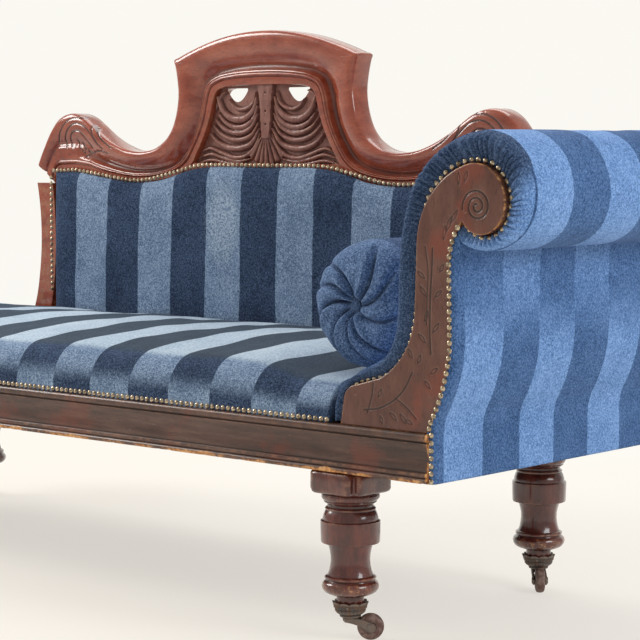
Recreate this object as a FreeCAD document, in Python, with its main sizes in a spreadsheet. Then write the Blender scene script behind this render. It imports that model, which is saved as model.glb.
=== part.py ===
import FreeCAD, Part
import Sketcher
import math
import os
from FreeCAD import Placement, Rotation, Vector

# Single-ended fainting couch: carved show-wood back, one scroll arm, loose bolster, turned legs on castors.
# Lengths are millimetres. X runs along the couch with the scroll arm at +X, the front faces -Y, Z is up.
# Inside the file each piece is laid out from the floor point below the front corner of the rail at the
# scroll-arm end: x is negative towards the foot, y is the depth behind the rail's front face.

doc = FreeCAD.newDocument("fainting_couch")

# Driving dimensions.
SIZES = {
    # Seat frame.
    "rail_length": 1760,
    "seat_depth": 590,
    "rail_underside": 256,
    "rail_depth": 71,
    "rail_thickness": 45,
    "moulding_thickness": 22,
    "moulding_ledge": 6,
    "moulding_bead": 11,
    "moulding_cove": 9,
    "brace_side": 45,
    "brace_height": 50,
    # Legs.
    "leg_inset": 180,
    "leg_front_axis": 50,
    "leg_rear_inset": 61,
    "leg_block_side": 97,
    "leg_block_height": 35,
    "leg_block_radius": 9,
    "leg_tenon_radius": 15,
    "leg_tenon_height": 44,
    "leg_ring_radius": 43.5,
    "leg_ring_height": 9,
    "leg_throat_radius": 36,
    "leg_throat_height": 13,
    "leg_flare_radius": 39,
    "leg_flare_height": 19,
    "leg_collar_radius": 44.5,
    "leg_collar_height": 34,
    "leg_waist_radius": 29,
    "leg_waist_height": 48,
    "leg_bead_radius": 36.5,
    "leg_bead_height": 5,
    "leg_bulge_radius": 42.5,
    "leg_bulge_height": 22,
    "leg_neck_radius": 20,
    "leg_spigot_radius": 17,
    # Castors.
    "wheel_radius": 20,
    "wheel_width": 16,
    "wheel_crown": 1,
    "wheel_edge": 2,
    "wheel_gap": 0.6,
    "castor_trail": 30,
    "axle_radius": 3,
    "axle_head_radius": 5,
    "axle_head_height": 1.5,
    "running_clearance": 0.05,
    "cheek_thickness": 3,
    "cheek_eye_radius": 7.5,
    "crown_depth": 16,
    "crown_thickness": 5.5,
    "spigot_radius": 4,
    "spigot_height": 9,
    "cup_bottom": 34,
    "cup_height": 25,
    "cup_base": 10,
    "cup_foot_radius": 15,
    "cup_rim_radius": 26,
    "cup_lip": 2,
    "screw_radius": 1.6,
    "screw_length": 12,
    "front_head_heading": 40,
    "rear_head_heading": -50,
    "front_foot_heading": 205,
    "rear_foot_heading": 150,
    "part_clearance": 0.3,
    # Scroll arm.
    "roll_reach": 165,
    "arm_height": 751,
    "roll_radius": 83,
    "scroll_radius": 49,
    "scroll_drop": 11,
    "scroll_setback": 4,
    "stem_inner": 27,
    "stem_outer": 36,
    "facing_foot_reach": 163,
    "facing_foot_height": 60,
    "facing_thickness": 18,
    "stump_thickness": 36,
    "arm_pad_thickness": 42,
    "arm_foot_padding": 18,
    "arm_border_depth": 30,
    "arm_pad_lift": 2,
    "arm_panel_thickness": 8,
    "arm_rail_width": 30,
    "arm_rail_height": 50,
    "roll_rail_radius": 34,
    # Back.
    "back_offset": 820,
    "back_frame_thickness": 34,
    "crest_height": 936.5,
    "crest_corner_height": 888,
    "crest_half_width": 228,
    "crest_waist_half_width": 216,
    "crest_side_flare": 6,
    "crest_show_thickness": 6,
    "crest_back_margin": 8,
    "dip_half_width": 327,
    "dip_height": 715.5,
    "peak_half_width": 520,
    "peak_height": 790,
    "shoulder_half_width": 612,
    "nail_line_centre": 688.5,
    "nail_line_dip": 657.5,
    "nail_line_end": 674,
    "back_wood_bottom": 652,
    "board_gap": 12,
    "fret_arch_height": 838,
    "fret_arch_half_width": 126,
    "fret_base_half_width": 185,
    "fret_rail_height": 7,
    "fret_thickness": 10,
    "fret_setback": 12,
    "fret_hole_inner": 52,
    "fret_hole_outer": 106,
    "fret_hole_low": 808,
    "fret_hole_top": 833,
    "stile_width": 45,
    "stile_foot_kick": 55,
    "tack_rail_height": 40,
    "back_lower_rail_height": 45,
    "back_lower_rail_gap": 58,
    "back_upright_width": 38,
    "back_pad_depth": 28,
    "back_pad_belly": 9,
    "back_pad_tuck": 4.5,
    "pad_gap": 3,
    "strap_end_gap": 10,
    "cross_strap_inset": 30,
    "outer_cloth_margin": 2,
    "outer_cloth": 1.6,
    # Upholstery.
    "seat_front_height": 51,
    "seat_crown": 92,
    "seat_bolster_height": 67,
    "seat_foot_round": 150,
    "pad_edge_height": 10,
    "seat_tuck": 7,
    "seat_stile_gap": 5,
    "seat_rear_margin": 2,
    "seat_brow": 52,
    "hessian": 1.7,
    "strap_width": 50,
    "strap_thickness": 1.2,
    "strap_lap": 20,
    "strap_leg_gap": 2,
    "bottom_cloth": 1,
    "bottom_cloth_inset": 30,
    "bottom_cloth_leg_gap": 1,
    "spring_radius": 36,
    "spring_wire_radius": 1.9,
    "spring_seat_gap": 0.2,
    "spring_turns": 5,
    "spring_rows": 3,
    "springs_per_row": 8,
    "bolster_radius": 98,
    "bolster_front": 80,
    "bolster_back_gap": 18,
    "bolster_inset": 204,
    "bolster_end_round": 34,
    "bolster_dimple": 10,
    "button_radius": 11,
    "button_gap": 1,
    "button_height": 6,
    # Brass nails.
    "nail_radius": 4.3,
    "nail_dome": 2.7,
    "nail_pitch": 11,
    "nail_margin": 4.6,
}

sheet = doc.addObject("Spreadsheet::Sheet", "Sizes")
for row, (alias, number) in enumerate(SIZES.items(), start=1):
    sheet.set(f"A{row}", alias)
    sheet.set(f"B{row}", str(number))
    sheet.setAlias(f"B{row}", alias)
doc.recompute()


class Size:
    """A length that knows its number and the sheet expression that gives it."""

    def __init__(self, value, text):
        self.value = value
        self.text = text

    def joined(self, other, sign, result):
        return Size(result, f"({self.text} {sign} {as_size(other).text})")

    def __add__(self, other):
        return self.joined(other, "+", self.value + as_size(other).value)

    def __radd__(self, other):
        return as_size(other) + self

    def __sub__(self, other):
        return self.joined(other, "-", self.value - as_size(other).value)

    def __rsub__(self, other):
        return as_size(other) - self

    def __mul__(self, other):
        return self.joined(other, "*", self.value * as_size(other).value)

    def __rmul__(self, other):
        return as_size(other) * self

    def __truediv__(self, other):
        return self.joined(other, "/", self.value / as_size(other).value)

    def __neg__(self):
        return 0 - self

    def __float__(self):
        return float(self.value)


def as_size(number):
    return number if isinstance(number, Size) else Size(float(number), repr(float(number)))


def cell(alias):
    return Size(float(sheet.get(alias)), f"Sizes.{alias}")


def bind(item, **sizes):
    for name, size in sizes.items():
        item.setExpression(name.replace("__", "."), as_size(size).text)
    return item


def place(item, x=0, y=0, z=0):
    """Stands a piece, laid out from the rail corner, in the couch's own frame."""
    bind(item, Placement__Base__x=head_x + x, Placement__Base__y=front_y + y, Placement__Base__z=as_size(z))
    return item


pieces = []


def keep(item, label):
    item.Label = label
    pieces.append(item)
    return item


# Values that several pieces share.
rail_length = cell("rail_length")
seat_depth = cell("seat_depth")
roll_reach = cell("roll_reach")
head_x = (rail_length - roll_reach) / 2
depth = seat_depth + cell("crest_back_margin")
front_y = -depth / 2
rail_underside = cell("rail_underside")
rail_top = rail_underside + cell("rail_depth")
core_top = rail_top - cell("hessian")
rail_thickness = cell("rail_thickness")
moulding = cell("moulding_thickness")
ledge = cell("moulding_ledge")
panel = cell("arm_panel_thickness")
foot_core = moulding - rail_length
clearance = cell("part_clearance")
leg_rear_axis = seat_depth - cell("leg_rear_inset")
# How far a cutting or sharing region runs past the wood that it meets, and right past the whole couch.
through = 1.0
past = 40.0
beyond = 2 * float(rail_length)
frame_back = seat_depth
back_front = frame_back - cell("back_frame_thickness")
pad_face = back_front - cell("back_pad_depth")
rear_rail_front = seat_depth - rail_thickness
show_front = back_front - cell("crest_show_thickness")


def block(name, x, y, z, placed=False):
    """A rectangular block between two values on each axis, laid out from the rail corner."""
    item = doc.addObject("Part::Box", name)
    bind(item, Length=x[1] - x[0], Width=y[1] - y[0], Height=z[1] - z[0])
    if placed:
        return place(item, x[0], y[0], z[0])
    bind(item, Placement__Base__x=x[0], Placement__Base__y=y[0], Placement__Base__z=z[0])
    return item


def post(name, radius, height, x, y, z):
    """An upright round bar whose lower end centre is given."""
    item = doc.addObject("Part::Cylinder", name)
    bind(item, Radius=radius, Height=height)
    bind(item, Placement__Base__x=as_size(x), Placement__Base__y=as_size(y), Placement__Base__z=as_size(z))
    return item


def cut(name, base, tools):
    together = doc.addObject("Part::Compound", name + "_tools")
    together.Links = tools
    item = doc.addObject("Part::Cut", name)
    item.Base = base
    item.Tool = together
    return item


def origin_plane(body, role):
    return next(item for item in body.Origin.OriginFeatures if item.Role == role)


def closed_sketch(body, role, name, corners):
    """A closed outline. Each corner is (across, up) or (across, up, bulge of the arc that leaves it)."""
    sketch = body.newObject("Sketcher::SketchObject", name)
    sketch.AttachmentSupport = (origin_plane(body, role), "")
    sketch.MapMode = "FlatFace"
    points = [Vector(float(corner[0]), float(corner[1]), 0) for corner in corners]
    ends = []
    for index, corner in enumerate(corners):
        start = points[index]
        finish = points[(index + 1) % len(points)]
        if len(corner) == 2:
            edge = sketch.addGeometry(Part.LineSegment(start, finish), False)
            ends.append((edge, 1, 2))
            continue
        chord = finish - start
        crest = (start + finish) / 2 + Vector(chord.y, -chord.x, 0).normalize() * float(corner[2])
        edge = sketch.addGeometry(Part.Arc(start, crest, finish), False)
        forward = (sketch.getPoint(edge, 1) - start).Length < (sketch.getPoint(edge, 2) - start).Length
        ends.append((edge, 1, 2) if forward else (edge, 2, 1))
        after = corners[(index + 1) % len(corners)]
        across = as_size(after[0]) - corner[0]
        up = as_size(after[1]) - corner[1]
        bulge = as_size(corner[2]) if float(corner[2]) > 0 else -as_size(corner[2])
        radius = (across * across + up * up) / (8 * bulge) + bulge / 2
        number = sketch.addConstraint(Sketcher.Constraint("Radius", edge, float(radius)))
        sketch.setExpression(f"Constraints[{number}]", radius.text)
    for index, corner in enumerate(corners):
        edge, first, last = ends[index]
        for kind, value in (("DistanceX", corner[0]), ("DistanceY", corner[1])):
            number = sketch.addConstraint(Sketcher.Constraint(kind, -1, 1, edge, first, float(value)))
            sketch.setExpression(f"Constraints[{number}]", as_size(value).text)
        before = ends[index - 1]
        sketch.addConstraint(Sketcher.Constraint("Coincident", before[0], before[2], edge, first))
    return sketch


def turned_body(name, corners):
    """A turned piece: half its outline, (radius, height), spun about its upright axis."""
    body = doc.addObject("PartDesign::Body", name)
    sketch = closed_sketch(body, "XZ_Plane", name + "_outline", corners)
    turning = body.newObject("PartDesign::Revolution", name + "_turning")
    turning.Profile = sketch
    turning.ReferenceAxis = (sketch, ["V_Axis"])
    turning.Angle = 360
    return body


# Seat frame: beech rails under an applied mahogany moulding that returns round the foot end.
leg_places = {
    "front_head": (-cell("leg_inset"), cell("leg_front_axis"), cell("front_head_heading")),
    "rear_head": (-cell("leg_inset"), leg_rear_axis, cell("rear_head_heading")),
    "front_foot": (cell("leg_inset") - rail_length, cell("leg_front_axis"), cell("front_foot_heading")),
    "rear_foot": (cell("leg_inset") - rail_length, leg_rear_axis, cell("rear_foot_heading")),
}


def tenon_hole(place_name):
    x, y, heading = leg_places[place_name]
    return post(
        place_name + "_tenon_hole",
        cell("leg_tenon_radius"),
        cell("leg_tenon_height"),
        x,
        y,
        rail_underside,
    )


front_core = block(
    "front_core",
    (foot_core, as_size(0)),
    (moulding, moulding + rail_thickness),
    (rail_underside, core_top),
)
front_rail = cut("front_seat_rail", front_core, [tenon_hole("front_head"), tenon_hole("front_foot")])
keep(place(front_rail), "front_seat_rail")
keep(
    block(
        "rear_seat_rail",
        (foot_core, as_size(0)),
        (rear_rail_front, seat_depth),
        (rail_underside, core_top),
        placed=True,
    ),
    "rear_seat_rail",
)
side_rail_y = (moulding + rail_thickness, rear_rail_front)
rail_heights = (rail_underside, core_top)
head_rail_x = (-rail_thickness, as_size(0))
foot_rail_x = (foot_core, foot_core + rail_thickness)
keep(block("head_seat_rail", head_rail_x, side_rail_y, rail_heights, placed=True), "head_seat_rail")
keep(block("foot_seat_rail", foot_rail_x, side_rail_y, rail_heights, placed=True), "foot_seat_rail")

block_reach = cell("leg_block_side") / 2 + cell("leg_tenon_radius")
leg_blocks = doc.addObject("Part::Compound", "rear_leg_blocks")
bored_blocks = []
for end in ("head", "foot"):
    axis_x, axis_y, heading = leg_places["rear_" + end]
    solid = block(
        f"rear_leg_block_{end}_solid",
        (axis_x - block_reach, axis_x + block_reach),
        (axis_y - cell("leg_block_side") / 2, rear_rail_front),
        (rail_underside, core_top),
    )
    bored_blocks.append(cut(f"rear_leg_block_{end}", solid, [tenon_hole("rear_" + end)]))
leg_blocks.Links = bored_blocks
keep(place(leg_blocks), "rear_leg_blocks")

# Triangular glue blocks in the four inner corners of the frame.
brace_top = core_top - 2 * clearance
inner_x = (foot_core + rail_thickness, -rail_thickness)
braces = []
for x, x_way in ((inner_x[0], 1), (inner_x[1], -1)):
    for y, y_way in ((side_rail_y[0], 1), (side_rail_y[1], -1)):
        low = float(brace_top - cell("brace_height"))
        side = float(cell("brace_side"))
        corner = Vector(float(x), float(y), low)
        triangle = Part.makePolygon([
            corner,
            corner + Vector(x_way * side, 0, 0),
            corner + Vector(0, y_way * side, 0),
            corner,
        ])
        braces.append(Part.Face(triangle).extrude(Vector(0, 0, float(cell("brace_height")))))


def feature(label, shape):
    """A piece whose form is computed here, laid out from the rail corner."""
    item = doc.addObject("Part::Feature", label)
    item.Shape = shape
    place(item)
    return keep(item, label)


feature("corner_braces", Part.makeCompound(braces))

# Moulding section: depth behind the front face against height, rounded bead, groove, cove, lower bead.
bead = cell("moulding_bead")
cove = cell("moulding_cove")
moulding_section = [
    (moulding, rail_underside),
    (moulding, rail_top),
    (bead / 4, rail_top, -bead / 5),
    (as_size(0), rail_top - bead),
    (cove / 3, rail_top - bead),
    (cove / 3, rail_top - bead * 1.4, -cove / 2),
    (cove / 2, rail_underside + bead * 1.5),
    (as_size(0), rail_underside + bead * 1.5),
    (as_size(0), rail_underside),
]
front_moulding = doc.addObject("PartDesign::Body", "front_rail_moulding")
section = closed_sketch(front_moulding, "YZ_Plane", "front_moulding_section", moulding_section)
run = front_moulding.newObject("PartDesign::Pad", "front_moulding_run")
run.Profile = section
bind(run, Length=rail_length)
mitre = closed_sketch(
    front_moulding,
    "XY_Plane",
    "front_moulding_mitre",
    [(as_size(0), as_size(0)), (moulding, moulding), (as_size(0), moulding)],
)
mitre_cut = front_moulding.newObject("PartDesign::Pocket", "front_moulding_mitre_cut")
mitre_cut.Profile = mitre
mitre_cut.Type = 1
mitre_cut.Midplane = True
keep(place(front_moulding, x=-rail_length), "front_rail_moulding")

foot_moulding = doc.addObject("PartDesign::Body", "foot_rail_moulding")
section = closed_sketch(foot_moulding, "XZ_Plane", "foot_moulding_section", moulding_section)
run = foot_moulding.newObject("PartDesign::Pad", "foot_moulding_run")
run.Profile = section
run.Reversed = True
bind(run, Length=seat_depth)
mitre = closed_sketch(
    foot_moulding,
    "XY_Plane",
    "foot_moulding_mitre",
    [(as_size(0), as_size(0)), (moulding, as_size(0)), (moulding, moulding)],
)
mitre_cut = foot_moulding.newObject("PartDesign::Pocket", "foot_moulding_mitre_cut")
mitre_cut.Profile = mitre
mitre_cut.Type = 1
mitre_cut.Midplane = True
keep(place(foot_moulding, x=-rail_length), "foot_rail_moulding")


# Legs: one turning each, square block above, round tenon into the rail, spigot into the castor cup.
cup_bottom = cell("cup_bottom")
cup_top = cup_bottom + cell("cup_height")
cup_floor = cup_bottom + cell("cup_base")
screw_height = (cup_floor + cup_top) / 2
block_bottom = rail_underside - cell("leg_block_height")
ring_bottom = block_bottom - cell("leg_ring_height")
throat_bottom = ring_bottom - cell("leg_throat_height")
flare_bottom = throat_bottom - cell("leg_flare_height")
collar_bottom = flare_bottom - cell("leg_collar_height")
waist_bottom = collar_bottom - cell("leg_waist_height")
bead_bottom = waist_bottom - cell("leg_bead_height")
bulge_bottom = bead_bottom - cell("leg_bulge_height")
shaft_radius = cell("leg_throat_radius")
leg_section = [
    (as_size(0), cup_floor),
    (cell("leg_spigot_radius"), cup_floor),
    (cell("leg_spigot_radius"), cup_top),
    (cell("leg_neck_radius"), cup_top),
    (cell("leg_neck_radius"), bulge_bottom),
    (shaft_radius, bulge_bottom, cell("leg_bulge_height") / 4),
    (shaft_radius, bead_bottom),
    (cell("leg_bead_radius"), bead_bottom, cell("leg_bead_height") / 3),
    (cell("leg_bead_radius"), waist_bottom),
    (cell("leg_waist_radius") + cell("leg_bead_height") * 0.4, waist_bottom, -cell("leg_waist_radius") / 12),
    (cell("leg_flare_radius"), collar_bottom),
    (cell("leg_collar_radius"), collar_bottom),
    (cell("leg_collar_radius"), flare_bottom),
    (cell("leg_flare_radius"), flare_bottom, -cell("leg_throat_height") / 6),
    (shaft_radius, throat_bottom),
    (shaft_radius, ring_bottom),
    (cell("leg_ring_radius"), ring_bottom, cell("leg_ring_height") / 4),
    (cell("leg_ring_radius"), block_bottom),
    (as_size(0), block_bottom),
]


def screw_bars(reach):
    """The three screws of a cup, as bars from the cup's outside inwards, about the leg's axis."""
    bars = []
    outside = float(cell("cup_rim_radius"))
    for turn in range(3):
        way = Vector(math.cos(math.radians(120 * turn + 60)), math.sin(math.radians(120 * turn + 60)), 0)
        start = way * outside + Vector(0, 0, float(screw_height))
        bars.append(Part.makeCylinder(float(cell("screw_radius")), reach, start, way * -1))
    return bars


for where, (axis_x, axis_y, heading) in leg_places.items():
    leg = turned_body(f"leg_{where}_turning", leg_section)
    half = cell("leg_block_side") / 2
    square = closed_sketch(
        leg, "XY_Plane", f"leg_{where}_square", [(-half, -half), (half, -half), (half, half), (-half, half)]
    )
    bind(square, AttachmentOffset__Base__z=block_bottom)
    top = leg.newObject("PartDesign::Pad", f"leg_{where}_block")
    top.Profile = square
    bind(top, Length=cell("leg_block_height"))
    doc.recompute()
    uprights = [
        f"Edge{number}"
        for number, edge in enumerate(top.Shape.Edges, start=1)
        if abs(edge.Length - float(cell("leg_block_height"))) < 0.01
        and abs(edge.tangentAt(edge.FirstParameter).z) > 0.99
        and abs(abs(edge.CenterOfMass.x) - float(half)) < 0.01
    ]
    rounding = leg.newObject("PartDesign::Fillet", f"leg_{where}_rounding")
    rounding.Base = (top, uprights)
    bind(rounding, Radius=cell("leg_block_radius"))
    tenon = leg.newObject("PartDesign::AdditiveCylinder", f"leg_{where}_tenon")
    bind(tenon, Radius=cell("leg_tenon_radius"), Height=cell("leg_tenon_height"))
    bind(tenon, Placement__Base__z=rail_underside)
    drilled = doc.addObject("Part::Feature", f"leg_{where}_screw_holes")
    drilled.Shape = Part.makeCompound(screw_bars(float(cell("screw_length"))))
    whole = cut(f"leg_{where}", leg, [drilled])
    keep(place(whole, axis_x, axis_y), f"leg_{where}")

# Castors: cup on the leg's spigot, swivelling fork, wheel on its axle.
spigot = cell("spigot_radius")
cup_section = [
    (spigot + cell("running_clearance"), cup_bottom),
    (cell("cup_foot_radius"), cup_bottom, -cell("cup_base") / 5),
    (cell("cup_rim_radius") - cell("cup_lip"), cup_floor),
    (cell("cup_rim_radius"), cup_floor + cell("cup_lip")),
    (cell("cup_rim_radius"), cup_top),
    (cell("leg_spigot_radius"), cup_top),
    (cell("leg_spigot_radius"), cup_floor),
    (spigot + cell("running_clearance"), cup_floor),
]
wheel_radius = cell("wheel_radius")
wheel_half = cell("wheel_width") / 2
wheel_crown = cell("wheel_crown")
wheel_edge = cell("wheel_edge")
cheek_inner = wheel_half + cell("wheel_gap")
cheek_outer = cheek_inner + cell("cheek_thickness")
wheel_section = [
    (cell("axle_radius") + cell("running_clearance"), -wheel_half),
    (wheel_radius - wheel_crown - wheel_edge / 2, -wheel_half),
    (wheel_radius - wheel_crown, wheel_edge - wheel_half, wheel_crown),
    (wheel_radius - wheel_crown, wheel_half - wheel_edge),
    (wheel_radius - wheel_crown - wheel_edge / 2, wheel_half),
    (cell("axle_radius") + cell("running_clearance"), wheel_half),
]
crown_top = cup_bottom - clearance
crown_low = crown_top - cell("crown_thickness")


def fork_shape():
    """Crown plate, spigot and two tongue-shaped cheeks, the wheel trailing towards +X of its own frame."""
    half_depth = float(cell("crown_depth")) / 2
    top = float(crown_top)
    low = float(crown_low)
    eye = float(cell("cheek_eye_radius"))
    trail = float(cell("castor_trail"))
    hub = float(wheel_radius)
    inner = float(cheek_inner)
    thick = float(cell("cheek_thickness"))
    outer = float(cheek_outer)
    crown = Part.makeBox(2 * half_depth, 2 * outer, top - low, Vector(-half_depth, -outer, low))
    peg = Part.makeCylinder(float(spigot), float(cell("spigot_height")) + top - low, Vector(0, 0, low))
    cheeks = []
    for side in (-outer, inner):
        tongue = Part.makePolygon([
            Vector(-half_depth, side, top),
            Vector(half_depth, side, top),
            Vector(trail + eye * 0.6, side, hub + eye * 0.8),
            Vector(trail - eye * 0.6, side, hub - eye * 0.8),
            Vector(-half_depth, side, low),
            Vector(-half_depth, side, top),
        ])
        plate = Part.Face(tongue).extrude(Vector(0, thick, 0))
        boss = Part.makeCylinder(eye, thick, Vector(trail, side, hub), Vector(0, 1, 0))
        cheeks.append(plate.fuse(boss))
    whole = crown.fuse([peg] + cheeks)
    bore_start = Vector(trail, -outer, hub)
    bore = Part.makeCylinder(float(cell("axle_radius")), 2 * outer, bore_start, Vector(0, 1, 0))
    return whole.cut(bore).removeSplitter()


def axle_shape():
    """The wheel's pin, with a riveted head outside each cheek."""
    trail = float(cell("castor_trail"))
    hub = float(wheel_radius)
    outer = float(cheek_outer)
    head = float(cell("axle_head_height"))
    along = Vector(0, 1, 0)
    pin = Part.makeCylinder(float(cell("axle_radius")), 2 * outer, Vector(trail, -outer, hub), along)
    near = Part.makeCylinder(float(cell("axle_head_radius")), head, Vector(trail, -outer - head, hub), along)
    far = Part.makeCylinder(float(cell("axle_head_radius")), head, Vector(trail, outer, hub), along)
    return pin.fuse([near, far]).removeSplitter()


def head_to(item, x, y, heading):
    """Turns a castor piece about its swivel axis to the way its wheel trails."""
    item.Placement = Placement(Vector(), Rotation(Vector(0, 0, 1), float(heading)))
    bind(item, Placement__Rotation__Angle=heading)
    return place(item, x, y)


screws = []
for where, (axis_x, axis_y, heading) in leg_places.items():
    cup_body = turned_body(f"castor_cup_{where}_turning", cup_section)
    drilled = doc.addObject("Part::Feature", f"castor_cup_{where}_screw_holes")
    drilled.Shape = Part.makeCompound(screw_bars(float(cell("screw_length"))))
    cup = cut(f"castor_cup_{where}", cup_body, [drilled])
    keep(place(cup, axis_x, axis_y), f"castor_cup_{where}")
    fork = doc.addObject("Part::Feature", f"castor_fork_{where}")
    fork.Shape = fork_shape()
    keep(head_to(fork, axis_x, axis_y, heading), f"castor_fork_{where}")
    axle = doc.addObject("Part::Feature", f"castor_axle_{where}")
    axle.Shape = axle_shape()
    keep(head_to(axle, axis_x, axis_y, heading), f"castor_axle_{where}")
    wheel = turned_body(f"castor_wheel_{where}", wheel_section)
    facing = Rotation(Vector(0, 0, 1), float(heading)) * Rotation(Vector(1, 0, 0), 90)
    wheel.Placement = Placement(Vector(), facing)
    ahead = Size(math.cos(math.radians(float(heading))), f"cos({heading.text} * 1 deg)")
    aside = Size(math.sin(math.radians(float(heading))), f"sin({heading.text} * 1 deg)")
    trail = cell("castor_trail")
    place(wheel, axis_x + trail * ahead, axis_y + trail * aside, wheel_radius)
    keep(wheel, f"castor_wheel_{where}")
    for bar in screw_bars(float(cell("screw_length"))):
        bar.translate(Vector(float(axis_x), float(axis_y), 0))
        screws.append(bar)
feature("castor_screws", Part.makeCompound(screws))


class Path:
    """A chain of lines and arcs in the upright XZ plane, in real sizes from the rail corner."""

    def __init__(self, x, z):
        self.here = Vector(float(x), 0, float(z))
        self.edges = []

    def line(self, x, z):
        there = Vector(float(x), 0, float(z))
        self.edges.append(Part.LineSegment(self.here, there).toShape())
        self.here = there
        return self

    def arc(self, mid, end):
        there = Vector(float(end[0]), 0, float(end[1]))
        by_way_of = Vector(float(mid[0]), 0, float(mid[1]))
        self.edges.append(Part.Arc(self.here, by_way_of, there).toShape())
        self.here = there
        return self

    def slab(self, low, high):
        """The closed outline as a board between two depths."""
        whole = Part.Wire(self.edges)
        whole.translate(Vector(0, float(low), 0))
        return Part.Face(whole).extrude(Vector(0, float(high) - float(low), 0))


# Scroll arm. Its wooden outline: foot along the rail, cove, stem, scroll, notch under the scroll.
top = float(rail_top)
roll_x = float(roll_reach - cell("roll_radius"))
roll_z = float(cell("arm_height") - cell("roll_radius"))
roll = float(cell("roll_radius"))
scroll_x = roll_x - float(cell("scroll_setback"))
scroll_z = roll_z - float(cell("scroll_drop"))
scroll = float(cell("scroll_radius"))
stem_in = -float(cell("stem_inner"))
stem_out = float(cell("stem_outer"))
foot_rise = float(cell("facing_foot_height"))
foot_x = -float(cell("facing_foot_reach"))
foot_z = top + foot_rise
neck_z = scroll_z - 1.47 * scroll
notch = (scroll_x - 0.47 * scroll, scroll_z - 0.63 * scroll)
under_scroll = (stem_out + 0.08 * scroll, scroll_z - 1.17 * scroll)
under_roll = (stem_out + 0.04 * scroll, roll_z - 0.91 * roll)
# The stem's outer edge: straight between two heights, then swept in to its toe on the rail.
stem_top = (stem_out - 0.04 * scroll, under_roll[1] - 0.69 * scroll)
stem_low_z = top + 2.05 * foot_rise
stem_bow = (stem_out - 0.32 * foot_rise, top + 0.75 * foot_rise)
stem_toe = -0.08 * foot_rise


def along_inner_edge(path):
    """Up the inside of the arm, from the foot on the rail round the scroll to the notch."""
    path.line(foot_x + 0.1 * foot_rise, foot_z - 0.38 * foot_rise)
    path.arc((foot_x + 0.22 * foot_rise, foot_z - 0.13 * foot_rise), (foot_x + 0.5 * foot_rise, foot_z))
    path.line(foot_x + 1.2 * foot_rise, foot_z + 0.2 * foot_rise)
    path.arc((stem_in - 0.37 * foot_rise, foot_z + 0.77 * foot_rise), (stem_in, foot_z + 1.88 * foot_rise))
    path.line(stem_in + 0.05 * foot_rise, neck_z)

    def at(across, up):
        return (scroll_x + across * scroll, scroll_z + up * scroll)

    path.arc((stem_in + 0.59 * scroll, scroll_z + 0.14 * scroll), at(-0.18, 1))
    path.arc(at(0.7, 0.68), at(1, -0.02))
    path.arc(at(0.73, -0.76), at(0.2, -1))
    return path.arc(at(-0.16, -0.92), notch)


def arm_board(low, high):
    """The scroll board between two depths."""
    path = along_inner_edge(Path(foot_x, top))
    path.arc(under_scroll, stem_top)
    path.line(stem_out, stem_low_z)
    path.arc(stem_bow, (stem_toe, top))
    path.line(foot_x, top)
    return path.slab(low, high)


board_front = float(ledge)
board_back = board_front + float(cell("facing_thickness"))
stump_back = board_back + float(cell("stump_thickness"))
feature("arm_facing", arm_board(board_front, board_back))
feature("arm_front_stump", arm_board(board_back, stump_back))
rear_low = float(back_front)
rear_high = float(frame_back)
centre_x = -float(cell("back_offset"))
stile_outer = centre_x + float(cell("shoulder_half_width"))
wood_bottom = float(cell("back_wood_bottom"))
board_top = wood_bottom - float(cell("board_gap"))
lower_board = Part.makeBox(
    -stile_outer - foot_rise,
    rear_high - rear_low,
    board_top - top,
    Vector(stile_outer, rear_low, top),
)
upper_board = Part.makeBox(
    -stile_outer,
    rear_high - rear_low,
    board_top - foot_z - foot_rise,
    Vector(stile_outer, rear_low, foot_z + foot_rise),
)
rear_board = lower_board.fuse(upper_board)
outside_stile = Part.makeBox(beyond, beyond, beyond, Vector(stile_outer, 0, 0))
rear_stump = arm_board(rear_low, rear_high).fuse(rear_board).common(outside_stile)
feature("arm_rear_stump", rear_stump.removeSplitter())

# Hidden rails of the arm, between the two stumps, and the webbing that lies against their inner side.
rail_wide = float(cell("arm_rail_width"))
rail_high = float(cell("arm_rail_height"))
strap = float(cell("strap_width"))
strap_thick = float(cell("strap_thickness"))
span = rear_low - stump_back
strap_x = stem_in + 0.05 * foot_rise
rail_x = strap_x + strap_thick
lower_rail_z = foot_z - 0.04 * foot_rise
feature(
    "arm_lower_rail",
    Part.makeBox(rail_wide, span, rail_high, Vector(rail_x, stump_back, lower_rail_z)),
)
upper_rail = Part.makeBox(rail_wide, span, rail_high, Vector(rail_x, stump_back, neck_z - rail_high))
roll_rail = Part.makeCylinder(
    float(cell("roll_rail_radius")), span, Vector(scroll_x, stump_back, scroll_z), Vector(0, 1, 0)
)
feature("arm_roll_rail", Part.makeCompound([upper_rail, roll_rail]))
arm_straps = []
arm_strap_count = 4
arm_strap_low = foot_z + 0.33 * foot_rise
for number in range(arm_strap_count):
    strap_y = stump_back + span * (number + 0.5) / arm_strap_count
    strip = Part.makeBox(
        strap_thick, strap, neck_z - arm_strap_low, Vector(strap_x, strap_y - strap / 2, arm_strap_low)
    )
    arm_straps.append(strip)
feature("arm_webbing", Part.makeCompound(arm_straps))

pad_thick = float(cell("arm_pad_thickness"))
pad_foot = foot_x - float(cell("arm_foot_padding"))
pad_low = top + float(cell("arm_pad_lift"))
pad_stem = stem_in - pad_thick
# The stuffing stops against the back of the outer covering.
pad_outer = stem_out - float(panel) / 2


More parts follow.
